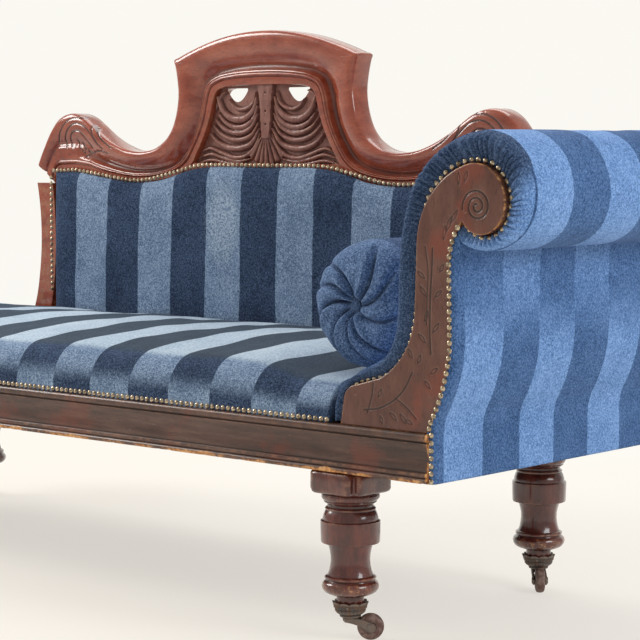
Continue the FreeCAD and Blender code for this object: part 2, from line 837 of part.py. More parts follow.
def arm_cover(low, high):
    """The whole covered arm, from its silhouette inwards: foot, cove, inner face and the full roll."""
    path = Path(pad_foot, pad_low)
    path.arc(
        (pad_foot + 0.08 * foot_rise, foot_z - 0.23 * foot_rise),
        (pad_foot + 0.33 * foot_rise, foot_z + 0.12 * foot_rise),
    )
    path.line(foot_x + 1.17 * foot_rise, foot_z + 0.7 * foot_rise)
    path.arc((pad_stem - 0.1 * pad_thick, foot_z + 1.03 * foot_rise), (pad_stem, foot_z + 1.58 * foot_rise))
    path.line(pad_stem + 0.02 * pad_thick, scroll_z - 1.73 * scroll)
    path.arc(
        (pad_stem + 0.64 * pad_thick, scroll_z + 0.39 * scroll),
        (roll_x - 0.66 * roll, roll_z + 0.81 * roll),
    )
    path.arc((roll_x - 0.34 * roll, roll_z + 0.965 * roll), (roll_x, roll_z + roll))
    path.arc((roll_x + 0.707 * roll, roll_z + 0.707 * roll), (roll_x + roll, roll_z))
    path.arc((roll_x + 0.707 * roll, roll_z - 0.707 * roll), (roll_x, roll_z - roll))
    path.arc((roll_x - 0.265 * roll, roll_z - 0.975 * roll), under_roll)
    path.line(pad_outer, under_roll[1] + 0.04 * scroll)
    path.line(pad_outer, stem_low_z)
    path.line(-0.2 * foot_rise, pad_low)
    path.line(pad_foot, pad_low)
    return path.slab(low, high)


def arm_padding(low, high):
    """Stuffing round the wooden outline."""
    return arm_cover(low, high).cut(arm_board(float(low) - through, float(high) + through))


border_front = board_front + float(ledge)
border_back = border_front + float(cell("arm_border_depth"))
border = arm_padding(border_front, border_back)
feature("arm_front_border", border)
rear_tail = arm_padding(rear_low, rear_high).cut(rear_board)
above_board = Part.makeBox(beyond, beyond, beyond, Vector(-beyond / 2, 0, board_top))
beside_board = Part.makeBox(beyond, beyond, beyond, Vector(0, 0, rail_underside))
rear_tail = rear_tail.common(above_board.fuse(beside_board))
arm_pad = arm_padding(border_back, rear_low).fuse(rear_tail).removeSplitter()
feature("arm_pad", arm_pad)

# Outer covering of the arm, over the stem's outside edge and the end of the rail.
panel_thick = float(panel)
panel_lap = 0.2 * panel_thick
panel_top = under_roll[1] - panel_thick
panel_outline = Path(0, rail_underside)
panel_outline.line(0, top)
panel_outline.line(stem_toe, pad_low)
panel_outline.arc(stem_bow, (stem_out, stem_low_z))
panel_outline.line(*stem_top)
panel_outline.line(stem_out - panel_lap, panel_top)
panel_outline.line(stem_out - panel_lap + panel_thick, panel_top)
panel_outline.line(stem_top[0] + panel_thick, stem_top[1])
panel_outline.line(stem_out + panel_thick, stem_low_z)
panel_outline.arc((stem_bow[0] + panel_thick, stem_bow[1]), (panel_thick / 2, top))
panel_outline.line(panel_thick, rail_underside)
panel_outline.line(0, rail_underside)
outer_panel = panel_outline.slab(board_front, rear_high)
outer_panel = outer_panel.cut(arm_board(board_front - through, rear_high + through))
feature("arm_outer_panel", outer_panel)


# Back. Half widths are measured from the middle of the back, heights from the floor.
show_y = float(show_front)
crest_back = float(depth)


def back_point(across, z):
    return (centre_x + float(across), float(z))


half = float(cell("crest_half_width"))
waist = float(cell("crest_waist_half_width"))
dip = float(cell("dip_half_width"))
dip_z = float(cell("dip_height"))
corner_z = float(cell("crest_corner_height"))
crest_z = float(cell("crest_height"))
waist_z = dip_z + 0.71 * (corner_z - dip_z)
side_foot = (waist + float(cell("crest_side_flare")), dip_z + 0.41 * (corner_z - dip_z))
side_cove = (waist + 0.325 * (dip - waist), dip_z + 0.14 * (corner_z - dip_z))
arch = float(cell("fret_arch_half_width"))
arch_z = float(cell("fret_arch_height"))
base = float(cell("fret_base_half_width"))
fret_low = float(cell("nail_line_centre") + cell("fret_rail_height"))


fret_rise = arch_z - fret_low
fret_side = (base - 0.61 * (base - arch), fret_low + 0.35 * fret_rise)
arch_spring = (arch + 0.04 * arch, arch_z - 0.267 * fret_rise)
arch_haunch = (arch - 0.03 * arch, arch_z - 0.084 * fret_rise)
arch_flat = (arch - 0.246 * arch, arch_z - 0.02 * fret_rise)


def opening_path():
    """The arched opening that holds the fret panel, above a slim rail."""
    path = Path(*back_point(-base, fret_low))
    path.arc(back_point(-fret_side[0], fret_side[1]), back_point(-arch_spring[0], arch_spring[1]))
    path.arc(back_point(-arch_haunch[0], arch_haunch[1]), back_point(-arch_flat[0], arch_flat[1]))
    path.arc(back_point(0, arch_z), back_point(*arch_flat))
    path.arc(back_point(*arch_haunch), back_point(*arch_spring))
    path.arc(back_point(*fret_side), back_point(base, fret_low))
    return path.line(*back_point(-base, fret_low))


def crest_slab(low, high):
    path = Path(*back_point(-dip, wood_bottom))
    path.line(*back_point(-dip, dip_z))
    path.arc(back_point(-side_cove[0], side_cove[1]), back_point(-side_foot[0], side_foot[1]))
    path.arc(back_point(-waist, waist_z), back_point(-half, corner_z))
    path.arc(back_point(0, crest_z), back_point(half, corner_z))
    path.arc(back_point(waist, waist_z), back_point(*side_foot))
    path.arc(back_point(*side_cove), back_point(dip, dip_z))
    path.line(*back_point(dip, wood_bottom))
    path.line(*back_point(-dip, wood_bottom))
    return path.slab(low, high).cut(opening_path().slab(low - through, high + through))


line_mid = float(cell("nail_line_centre"))
line_dip = float(cell("nail_line_dip"))
line_end = float(cell("nail_line_end"))
peak = float(cell("peak_half_width"))
peak_z = float(cell("peak_height"))
shoulder = float(cell("shoulder_half_width"))
stile = float(cell("stile_width"))
pad_half = shoulder - stile


# Half widths and heights along the tacked edge, from its flat end by the stile to its flat middle.
line_step = (0.882 * pad_half, line_end + 0.12 * (line_end - line_dip))
line_reach = line_step[0] - dip
line_climb = (dip + 0.595 * line_reach, line_dip + 0.62 * (line_end - line_dip))
line_turn = (dip + 0.25 * line_reach, line_dip + 0.15 * (line_end - line_dip))
line_rise = line_mid - line_dip
line_inner = (dip - 0.3 * (dip - base), line_dip + 0.1 * line_rise)
line_brow = (base + 0.035 * (dip - base), line_mid - 0.24 * line_rise)
line_bend = (base - 0.14 * (dip - base), line_mid - 0.08 * line_rise)
line_level = base - 0.39 * (dip - base)


def nail_line(path, way):
    """Along the lower edge of the show wood, from one side (way -1 or 1) to the other."""

    def at(side, spot):
        return back_point(side * way * spot[0], spot[1])

    path.arc(at(-1, line_climb), at(-1, line_turn))
    path.arc(at(-1, (dip, line_dip)), at(-1, line_inner))
    path.line(*at(-1, line_brow))
    path.arc(at(-1, line_bend), at(-1, (line_level, line_mid)))
    path.line(*at(1, (line_level, line_mid)))
    path.arc(at(1, line_bend), at(1, line_brow))
    path.line(*at(1, line_inner))
    path.arc(at(1, (dip, line_dip)), at(1, line_turn))
    return path.arc(at(1, line_climb), at(1, line_step))


def show_region():
    """Everything above the nail line, from which the front layer of the wood is cut."""
    low = wood_bottom - through
    path = Path(*back_point(-shoulder - past, low))
    path.line(*back_point(-pad_half, low))
    path.line(*back_point(-pad_half, line_end))
    path.line(*back_point(-line_step[0], line_step[1]))
    nail_line(path, 1)
    path.line(*back_point(pad_half, line_end))
    path.line(*back_point(shoulder + past, line_end))
    path.line(*back_point(shoulder + past, crest_z + past))
    path.line(*back_point(-shoulder - past, crest_z + past))
    path.line(*back_point(-shoulder - past, low))
    return path.slab(show_y - through, rear_low + through)


# The shoulder's outline: a hollow from the dip, a slope up to the peak, and a round fall to the stile.
slope_run = peak - dip
slope_rise = peak_z - dip_z
end_run = shoulder - peak
hollow_mid = (dip + 0.275 * slope_run, dip_z + 0.12 * slope_rise)
hollow_end = (dip + 0.534 * slope_run, dip_z + 0.456 * slope_rise)
slope_top = (peak - 0.166 * slope_run, peak_z - 0.054 * slope_rise)
peak_crown = (peak + 0.01 * slope_run, peak_z)
peak_end = (peak + 0.36 * end_run, peak_z - 0.16 * slope_rise)
fall_mid = (shoulder - 0.22 * end_run, peak_z - 0.64 * slope_rise)
fall_end = (shoulder + 0.02 * end_run, line_end + 0.14 * (peak_z - line_end))


def shoulder_slab(way, low, high):
    """One shoulder between two depths (way -1 or 1)."""

    def at(spot):
        return back_point(way * spot[0], spot[1])

    path = Path(*at((dip, wood_bottom)))
    path.line(*at((dip, dip_z)))
    path.arc(at(hollow_mid), at(hollow_end))
    path.line(*at(slope_top))
    path.arc(at(peak_crown), at(peak_end))
    path.arc(at(fall_mid), at(fall_end))
    path.line(*at((shoulder, wood_bottom)))
    path.line(*at((dip, wood_bottom)))
    return path.slab(low, high)


show_space = show_region()
crest_shape = crest_slab(rear_low, crest_back).fuse(crest_slab(show_y, rear_low).common(show_space))
feature("back_crest", crest_shape.removeSplitter())
for end, way in (("foot", -1), ("head", 1)):
    carved = shoulder_slab(way, rear_low, crest_back)
    carved = carved.fuse(shoulder_slab(way, show_y, rear_low).common(show_space))
    feature(f"back_shoulder_{end}", carved.removeSplitter())

# Fret panel, set back in the arch, with two pierced openings beside its centre column.
fret_front = show_y + float(cell("fret_setback"))
fret_back = fret_front + float(cell("fret_thickness"))
panel_edges = Part.Wire(opening_path().edges)
panel_edges.translate(Vector(0, fret_front, 0))
fret = Part.Face(panel_edges).makeOffset2D(-float(clearance))
fret = fret.extrude(Vector(0, fret_back - fret_front, 0))
hole_in = float(cell("fret_hole_inner"))
hole_out = float(cell("fret_hole_outer"))
hole_low = float(cell("fret_hole_low"))
hole_top = float(cell("fret_hole_top"))
hole_wide = hole_out - hole_in
hole_high = hole_top - hole_low
for way in (-1, 1):
    pierced = Path(*back_point(way * hole_in, hole_top))
    pierced.line(*back_point(way * (hole_out - 0.15 * hole_wide), hole_top))
    pierced.arc(
        back_point(way * (hole_out - 0.02 * hole_wide), hole_top - 0.2 * hole_high),
        back_point(way * hole_out, hole_top - 0.48 * hole_high),
    )
    pierced.arc(
        back_point(way * (hole_in + 0.7 * hole_wide), hole_low + 0.12 * hole_high),
        back_point(way * (hole_in + 0.37 * hole_wide), hole_low),
    )
    pierced.arc(
        back_point(way * (hole_in + 0.15 * hole_wide), hole_low + 0.32 * hole_high),
        back_point(way * hole_in, hole_top),
    )
    fret = fret.cut(pierced.slab(fret_front - through, fret_back + through))
feature("back_fret_panel", fret)

# Stiles and hidden rails of the back.
kick = float(cell("stile_foot_kick"))
stile_rise = wood_bottom - top
upper_bend = top + 0.717 * stile_rise
middle_bend = top + 0.41 * stile_rise
lower_bend = top + 0.194 * stile_rise
foot_stile = Path(*back_point(-shoulder, wood_bottom))
foot_stile.arc(
    back_point(-shoulder + 0.24 * stile, upper_bend), back_point(-shoulder + 0.07 * stile, middle_bend)
)
foot_stile.arc(back_point(-shoulder - 0.3 * kick, lower_bend), back_point(-shoulder - kick, top))
foot_stile.line(*back_point(-pad_half - 0.55 * kick, top))
foot_stile.arc(
    back_point(-pad_half - 0.2 * kick, lower_bend), back_point(-pad_half + 0.07 * stile, middle_bend)
)
foot_stile.arc(back_point(-pad_half + 0.18 * stile, upper_bend), back_point(-pad_half, wood_bottom))
foot_stile.line(*back_point(-shoulder, wood_bottom))
feature("back_stile_foot", foot_stile.slab(show_y, rear_high))
feature(
    "back_stile_head",
    Part.makeBox(stile, rear_high - rear_low, wood_bottom - top, Vector(stile_outer - stile, rear_low, top)),
)
tack_high = float(cell("tack_rail_height"))
inner_left = centre_x - pad_half + 0.2 * stile
inner_right = stile_outer - stile
feature(
    "back_tack_rail",
    Part.makeBox(
        inner_right - inner_left,
        rear_high - rear_low,
        tack_high,
        Vector(inner_left, rear_low, wood_bottom - tack_high),
    ),
)
lower_z = top + float(cell("back_lower_rail_gap"))
lower_high = float(cell("back_lower_rail_height"))
feature(
    "back_lower_rail",
    Part.makeBox(
        inner_right - inner_left,
        rear_high - rear_low,
        lower_high,
        Vector(inner_left, rear_low, lower_z),
    ),
)
upright = float(cell("back_upright_width"))
upright_low = lower_z + lower_high
uprights = [
    Part.makeBox(
        upright,
        rear_high - rear_low,
        wood_bottom - tack_high - upright_low,
        Vector(centre_x + way * base - upright / 2, rear_low, upright_low),
    )
    for way in (-1, 1)
]
feature("back_uprights", Part.makeCompound(uprights))

# Webbing straps over the front of the back frame, uprights behind and cross straps in front of them.
strap_back = rear_low - strap_thick
straps = []
strap_count = 9
cross_count = 2
strap_end = float(cell("strap_end_gap"))
cross_inset = float(cell("cross_strap_inset"))
strap_low = lower_z + strap_end
for number in range(strap_count):
    middle = inner_left + (inner_right - inner_left) * (number + 0.5) / strap_count
    straps.append(
        Part.makeBox(
            strap,
            strap_thick,
            wood_bottom - strap_end - strap_low,
            Vector(middle - strap / 2, strap_back, strap_low),
        )
    )
for number in range(cross_count):
    level = upright_low + (wood_bottom - tack_high - upright_low) * (number + 1) / (cross_count + 1)
    straps.append(
        Part.makeBox(
            inner_right - inner_left - 2 * cross_inset,
            strap_thick,
            strap,
            Vector(inner_left + cross_inset, strap_back - strap_thick, level - strap / 2),
        )
    )
feature("back_webbing", Part.makeCompound(straps))

# Back pad: one section every stretch of the nail line, each with its belly, drawn in at the foot end.
pad_back = strap_back - strap_thick
pad_bottom = top + float(cell("pad_gap"))
pad_front = float(pad_face)
belly = float(cell("back_pad_belly"))


def back_section(x, height, fullness):
    low_front = pad_back - (pad_back - pad_front) * fullness
    foot = Vector(x, pad_back, pad_bottom)
    front = Vector(x, low_front, pad_bottom)
    head = Vector(x, pad_back, height)
    swell = Vector(x, (low_front + pad_back) / 2 - belly * fullness, (pad_bottom + height) / 2)
    return Part.Wire([
        Part.LineSegment(foot, front).toShape(),
        Part.Arc(front, swell, head).toShape(),
        Part.LineSegment(head, foot).toShape(),
    ])


pad_right = pad_stem - float(cell("pad_gap")) - centre_x
pad_tops = [
    (-0.98 * pad_half, line_end, 0.55),
    (-0.93 * pad_half, line_end, 0.9),
    (-line_step[0], line_step[1], 1),
    (-dip, line_dip, 1),
    (-line_brow[0], line_brow[1], 1),
    (0, line_mid, 1),
    (line_brow[0], line_brow[1], 1),
    (dip, line_dip, 1),
    (line_step[0], line_step[1], 1),
    (pad_right - pad_thick, board_top - 0.05 * pad_thick, 0.95),
    (pad_right, board_top - 0.1 * pad_thick, 0.9),
]
pad_tuck = float(cell("back_pad_tuck"))
sections = [
    back_section(centre_x + across, height - pad_tuck, fullness) for across, height, fullness in pad_tops
]
back_pad = Part.makeLoft(sections, True, True)
arm_side = arm_cover(border_back, rear_low)
arm_side.translate(Vector(-through, 0, 0))
back_pad = back_pad.cut(arm_side)
feature("back_pad", back_pad)

# Outer covering of the back, flat over the frame behind, and round the scroll of the arm.
cloth = float(cell("outer_cloth"))
cover_low = float(rail_underside)
cover_high = wood_bottom - float(cell("outer_cloth_margin"))
rear_cover = Part.makeBox(
    -centre_x + pad_half,
    cloth,
    cover_high - cover_low,
    Vector(centre_x - pad_half, rear_high, cover_low),
)
rear_cover = rear_cover.fuse(arm_board(rear_high, rear_high + cloth))
last_slice = Part.makeBox(beyond, cloth, beyond, Vector(-beyond / 2, rear_high - cloth, 0))
rear_cover = rear_cover.fuse(outer_panel.common(last_slice).translated(Vector(0, cloth, 0)))
feature("back_outer_cloth", rear_cover.removeSplitter())

# Seat: webbing under the rails, springs, hessian, stuffed pad.
seat_low = float(rail_underside)
inside_left = float(foot_core + rail_thickness)
inside_right = float(-rail_thickness)
inside_front = float(moulding + rail_thickness)
inside_back = float(rear_rail_front)
rows_back = float(leg_rear_axis - cell("leg_block_side") / 2)
lap = float(cell("strap_lap"))
leg_gap = float(cell("strap_leg_gap"))
seat_straps = []
spring_rows = int(float(cell("spring_rows")))
row_pitch = (rows_back - inside_front) / spring_rows
spring_y = [inside_front + row_pitch * (number + 0.5) for number in range(spring_rows)]
for middle in spring_y:
    seat_straps.append(
        Part.makeBox(
            inside_right - inside_left + 2 * lap,
            strap,
            strap_thick,
            Vector(inside_left - lap, middle - strap / 2, seat_low - strap_thick),
        )
    )
springs_per_row = int(float(cell("springs_per_row")))
spring_pitch = (inside_right - inside_left) / springs_per_row
spring_x = [inside_left + spring_pitch * (number + 0.5) for number in range(springs_per_row)]
leg_x = [float(leg_places["front_head"][0]), float(leg_places["front_foot"][0])]
leg_room = (float(cell("leg_block_side")) + strap) / 2 + leg_gap
front_block_back = float(cell("leg_front_axis") + cell("leg_block_side") / 2) + leg_gap
for middle in spring_x:
    beside_leg = min(abs(middle - x) for x in leg_x) < leg_room
    near = front_block_back if beside_leg else inside_front - lap
    far = rows_back - leg_gap if beside_leg else inside_back + lap
    seat_straps.append(
        Part.makeBox(
            strap,
            far - near,
            strap_thick,
            Vector(middle - strap / 2, near, seat_low - 2 * strap_thick),
        )
    )
feature("seat_webbing", Part.makeCompound(seat_straps))

wire = float(cell("spring_wire_radius"))
spring_gap = float(cell("spring_seat_gap"))
spring_height = float(core_top) - seat_low - 2 * (wire + spring_gap)
coil_radius = float(cell("spring_radius"))


def tangent_arc(start, corner, end):
    """The arc that leaves one point and reaches another along the two sides of a corner."""
    weight = math.cos((corner - start).getAngle(end - start))
    middle = (start + corner * (2 * weight) + end) / (2 + 2 * weight)
    return Part.Arc(start, middle, end).toShape()


def two_arcs(start, start_way, end, end_way):
    """Two arcs in one smooth line between two points with given directions."""
    chord = end - start
    both = start_way + end_way
    square = both.dot(both) - 4
    middle_term = -2 * chord.dot(both)
    rest_term = chord.dot(chord)
    reach = (-middle_term - math.sqrt(middle_term**2 - 4 * square * rest_term)) / (2 * square)
    first = start + start_way * reach
    second = end - end_way * reach
    joint = (first + second) / 2
    return [tangent_arc(start, first, joint), tangent_arc(joint, second, end)]


def coil_spring():
    """One seat spring: an upright coil of round wire, half a turn at a time."""
    half_turns = 2 * int(float(cell("spring_turns")))
    climb = spring_height / half_turns
    points = []
    for number in range(half_turns + 1):
        side = 1 if number % 2 == 0 else -1
        way = Vector(0, side * math.pi * coil_radius, climb).normalize()
        points.append((Vector(side * coil_radius, 0, number * climb), way))
    arcs = []
    for (start, start_way), (end, end_way) in zip(points, points[1:]):
        arcs += two_arcs(start, start_way, end, end_way)
    ring = Part.Wire([Part.Circle(points[0][0], points[0][1], wire).toShape()])
    coil = Part.Wire(arcs).makePipeShell([ring], True, False)
    coil.translate(Vector(0, 0, seat_low + wire + spring_gap))
    print("least gap between spring turns", round(2 * climb - 2 * wire, 2))
    return coil


springs = []
one_spring = coil_spring()
for row_y in spring_y:
    for middle in spring_x:
        springs.append(one_spring.translated(Vector(middle, row_y, 0)))
feature("seat_springs", Part.makeCompound(springs))

hessian = float(cell("hessian"))
seat_right = pad_foot - float(cell("pad_gap"))
seat_left = float(ledge - rail_length)
feature(
    "seat_hessian",
    Part.makeBox(
        seat_right - inside_left + lap,
        inside_back - inside_front + 2 * lap,
        hessian,
        Vector(inside_left - lap, inside_front - lap, float(core_top)),
    ),
)

seat_base = top
front_edge = float(ledge)
seat_rear = float(seat_depth - cell("seat_rear_margin"))
seat_brow = float(cell("seat_brow"))


def seat_section(x, front_rise, crown, edge):
    """One cross-section of the seat: upright tacked edge, rounded front, crown, rounded rear."""
    knee = min(edge, front_rise * 0.8)
    low_front = Vector(x, front_edge, seat_base)
    knee_front = Vector(x, front_edge, seat_base + knee)
    brow = Vector(x, front_edge + seat_brow, seat_base + front_rise + (crown - front_rise) * 0.5)
    brow_way = Vector(x, front_edge + 0.17 * seat_brow, seat_base + front_rise * 0.85)
    back_brow = Vector(x, seat_rear - seat_brow, brow.z)
    middle = Vector(x, (front_edge + seat_rear) / 2, seat_base + crown)
    back_way = Vector(x, seat_rear - 0.17 * seat_brow, brow_way.z)
    knee_back = Vector(x, seat_rear, seat_base + knee)
    low_back = Vector(x, seat_rear, seat_base)
    return Part.Wire([
        Part.LineSegment(low_front, knee_front).toShape(),
        Part.Arc(knee_front, brow_way, brow).toShape(),
        Part.Arc(brow, middle, back_brow).toShape(),
        Part.Arc(back_brow, back_way, knee_back).toShape(),
        Part.LineSegment(knee_back, low_back).toShape(),
        Part.LineSegment(low_back, low_front).toShape(),
    ])


rise = float(cell("seat_front_height"))
crown = float(cell("seat_crown"))
rest = float(cell("seat_bolster_height"))
foot_round = float(cell("seat_foot_round"))
edge = float(cell("pad_edge_height"))
bolster_x = -float(cell("bolster_inset"))
bolster_wide = float(cell("bolster_radius"))


def seat_heights(x):
    """Front edge and crown height at one place: round at the foot end, pressed down below the bolster."""
    along = min(1.0, (x - seat_left) / foot_round)
    swell = math.sqrt(along * (2 - along))
    press = min(1.0, max(0.0, (x - bolster_x + 1.9 * bolster_wide) / (1.4 * bolster_wide)))
    press = press * press * (3 - 2 * press)
    front = 1.3 * edge + (rise - 1.3 * edge) * swell
    middle = 1.8 * edge + (crown - 1.8 * edge) * swell
    return front, middle + (rest - crown) * press


round_steps = 9
round_turns = [math.pi / 2 * turn / round_steps for turn in range(round_steps + 1)]
seat_stations = [seat_left + foot_round * (1 - math.cos(turn)) for turn in round_turns]
press_steps = 8
seat_stations += [bolster_x - bolster_wide * (1.9 - 0.2 * turn) for turn in range(press_steps)]
seat_stations.append(seat_right)
seat_body = Part.makeLoft([seat_section(x, *seat_heights(x), edge) for x in seat_stations], True, True)
# The seat runs right back beside the foot stile only, and elsewhere it stops in front of the back pad.
stile_clear = centre_x - shoulder - kick - float(cell("seat_stile_gap"))
seat_stop = float(pad_face - cell("seat_tuck"))
behind = Part.makeBox(beyond, beyond, beyond, Vector(stile_clear, seat_stop, seat_base - through))
feature("seat_pad", seat_body.cut(behind))

# Dust cloth under the seat, clear of the leg blocks.
under = seat_low - 2 * strap_thick
dust_thick = float(cell("bottom_cloth"))
dust_inset = float(cell("bottom_cloth_inset"))
dust = Part.makeBox(
    float(rail_length) - 2 * dust_inset,
    float(seat_depth) - 2 * dust_inset,
    dust_thick,
    Vector(dust_inset - float(rail_length), dust_inset, under - dust_thick),
)
block_half = float(cell("leg_block_side")) / 2 + float(cell("bottom_cloth_leg_gap"))
for x, y, heading in leg_places.values():
    leg_corner = Vector(float(x) - block_half, float(y) - block_half, under - past / 2)
    dust = dust.cut(Part.makeBox(2 * block_half, 2 * block_half, past, leg_corner))
feature("bottom_cloth", dust)

# Loose bolster, drawn in at both ends to a covered button.
bolster_radius = cell("bolster_radius")
bolster_length = pad_face - cell("bolster_back_gap") - cell("bolster_front")
end_round = cell("bolster_end_round")
dimple = cell("bolster_dimple")
bolster_section = [
    (as_size(0), dimple),
    (cell("button_radius"), dimple, dimple / 4),
    (bolster_radius * 0.55, as_size(0), -end_round / 8),
    (bolster_radius - end_round * 0.25, end_round * 0.55, -end_round / 12),
    (bolster_radius, end_round * 1.3),
    (bolster_radius, bolster_length - end_round * 1.3, -end_round / 12),
    (bolster_radius - end_round * 0.25, bolster_length - end_round * 0.55, -end_round / 8),
    (bolster_radius * 0.55, bolster_length, dimple / 4),
    (cell("button_radius"), bolster_length - dimple),
    (as_size(0), bolster_length - dimple),
]
bolster = turned_body("bolster", bolster_section)
bolster.Placement = Placement(Vector(), Rotation(Vector(1, 0, 0), -90))
bolster_z = rail_top + cell("seat_bolster_height") + bolster_radius + clearance
place(bolster, -cell("bolster_inset"), cell("bolster_front"), bolster_z)
keep(bolster, "bolster")
button_high = float(cell("button_height"))
button_wide = float(cell("button_radius") - cell("button_gap"))
buttons = []
for face, way in ((cell("bolster_front") + dimple, -1), (cell("bolster_front") + bolster_length - dimple, 1)):
    centre = Vector(bolster_x, float(face), float(bolster_z))
    buttons.append(Part.makeCylinder(button_wide, button_high, centre, Vector(0, way, 0)))
feature("bolster_buttons", Part.makeCompound(buttons))

# Brass nails: domed heads at an even pitch along each tacked edge.
nail_radius = float(cell("nail_radius"))
nail_dome = float(cell("nail_dome"))
pitch = float(cell("nail_pitch"))
margin = float(cell("nail_margin"))
ball = (nail_radius**2 + nail_dome**2) / (2 * nail_dome)
start_angle = math.degrees(math.asin((ball - nail_dome) / ball))
dome = Part.makeSphere(ball, Vector(0, 0, nail_dome - ball), Vector(0, 0, 1), start_angle, 90, 360)


def nail(point, facing):
    item = dome.copy()
    item.Placement = Placement(point, Rotation(Vector(0, 0, 1), facing))
    return item


def nails_along(edges, facing):
    """Nail heads centred on a chain of edges, from its first point to its last."""
    chain = Part.Wire(edges)
    count = max(2, int(round(chain.Length / pitch)))
    return [nail(point, facing) for point in chain.discretize(Number=count + 1)]


forward = Vector(0, -1, 0)
nail_z = top + margin
seat_line = Part.makeLine(
    Vector(seat_left + margin, front_edge, nail_z), Vector(seat_right - margin, front_edge, nail_z)
)
end_line = Part.makeLine(
    Vector(seat_left, front_edge + margin * 2, nail_z), Vector(seat_left, seat_rear - margin, nail_z)
)
seat_nails = nails_along([seat_line], forward) + nails_along([end_line], Vector(-1, 0, 0))
feature("seat_nails", Part.makeCompound(seat_nails))

back_line = Path(*back_point(nail_radius - pad_half, line_end))
back_line.line(*back_point(-line_step[0], line_step[1]))
nail_line(back_line, 1)
for piece in back_line.edges:
    piece.translate(Vector(0, show_y, margin * 0.6))
stile_nail_x = centre_x - pad_half - 0.09 * stile
stile_nail_low = top + 0.35 * stile_rise
stile_line = Part.makeLine(
    Vector(stile_nail_x, show_y, stile_nail_low), Vector(stile_nail_x, show_y, line_end - pitch)
)
back_nails = nails_along(back_line.edges, forward) + nails_along([stile_line], forward)
feature("back_nails", Part.makeCompound(back_nails))

inner_line = along_inner_edge(Path(foot_x, top + margin))
for piece in inner_line.edges:
    piece.translate(Vector(0, board_front, 0))
outer_line = Path(*notch)
outer_line.arc(under_scroll, stem_top)
outer_line.line(stem_out, stem_low_z)
end_x = nail_radius + float(clearance)
outer_line.arc(stem_bow, (-0.2 * margin, top + 2 * margin))
outer_line.line(end_x, top + margin)
outer_line.line(end_x, rail_underside + margin)
for piece in outer_line.edges:
    piece.translate(Vector(0, board_front, 0))
arm_nails = nails_along(inner_line.edges, forward) + nails_along(outer_line.edges, forward)[1:]
feature("arm_nails", Part.makeCompound(arm_nails))

# Every object must have built, and every kept piece must be a sound solid, before anything is written.
doc.recompute()
for item in doc.Objects:
    if "Invalid" in item.State or "Error" in item.State:
        raise RuntimeError(f"{item.Name} did not build: {item.State}")
os.makedirs("parts", exist_ok=True)
for item in pieces:
    if item.Shape.isNull() or not item.Shape.isValid() or not item.Shape.Solids:
        raise RuntimeError(f"{item.Label} is not a sound solid")
for item in pieces:
    item.Shape.exportStep(f"parts/{item.Label}.step")
print(len(pieces), "pieces written")
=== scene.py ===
import math

import bmesh
import bpy
import numpy as np
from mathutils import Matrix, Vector


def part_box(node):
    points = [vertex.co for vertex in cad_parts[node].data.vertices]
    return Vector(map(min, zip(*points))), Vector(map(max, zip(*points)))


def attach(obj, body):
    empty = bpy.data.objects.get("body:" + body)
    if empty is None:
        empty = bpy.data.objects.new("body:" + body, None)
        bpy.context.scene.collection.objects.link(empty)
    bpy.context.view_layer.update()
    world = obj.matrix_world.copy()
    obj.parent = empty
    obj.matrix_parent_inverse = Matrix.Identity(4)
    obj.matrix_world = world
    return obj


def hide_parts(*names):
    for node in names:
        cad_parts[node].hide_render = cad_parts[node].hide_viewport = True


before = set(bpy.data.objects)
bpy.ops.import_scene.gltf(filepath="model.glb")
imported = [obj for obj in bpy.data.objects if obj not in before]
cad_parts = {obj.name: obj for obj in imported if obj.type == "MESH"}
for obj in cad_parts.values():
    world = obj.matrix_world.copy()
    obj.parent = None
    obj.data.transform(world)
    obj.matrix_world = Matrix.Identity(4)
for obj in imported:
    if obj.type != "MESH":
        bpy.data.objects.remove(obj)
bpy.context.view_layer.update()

# The room: a pale cream floor that rises into a pale wall, soft light from the left, the front and above,
# and a camera a little below the top of the back, looking along the couch from its scroll-arm end.
camera_lens = 120.04
camera = bpy.data.objects.new("camera", bpy.data.cameras.new("camera"))
camera.data.lens = camera_lens
camera.data.sensor_width = 36
camera.data.clip_end = 60
camera.location = (2.6285, -2.6219, 0.7360)
camera.rotation_euler = (math.radians(85.20), 0, math.radians(41.11))
scene = bpy.context.scene
scene.collection.objects.link(camera)
scene.camera = camera
scene.view_settings.view_transform = "Standard"


class Wire:
    """One output of a shader node. Arithmetic on it adds Math nodes."""

    def __init__(self, finish, socket):
        self.finish = finish
        self.socket = socket

    def math(self, operation, *others):
        return self.finish.node("ShaderNodeMath", [self, *others], operation=operation)

    def __add__(self, other):
        return self.math("ADD", other)

    def __radd__(self, other):
        return self.math("ADD", other)

    def __sub__(self, other):
        return self.math("SUBTRACT", other)

    def __rsub__(self, other):
        return self.finish.node("ShaderNodeMath", [other, self], operation="SUBTRACT")

    def __mul__(self, other):
        return self.math("MULTIPLY", other)

    def __rmul__(self, other):
        return self.math("MULTIPLY", other)

    def __truediv__(self, other):
        return self.math("DIVIDE", other)

    def above(self, low, high):
        """Rises smoothly from 0 to 1 between two values."""
        return self.finish.node(
            "ShaderNodeMapRange",
            {"Value": self, "From Min": low, "From Max": high},
            interpolation_type="SMOOTHSTEP",
        )


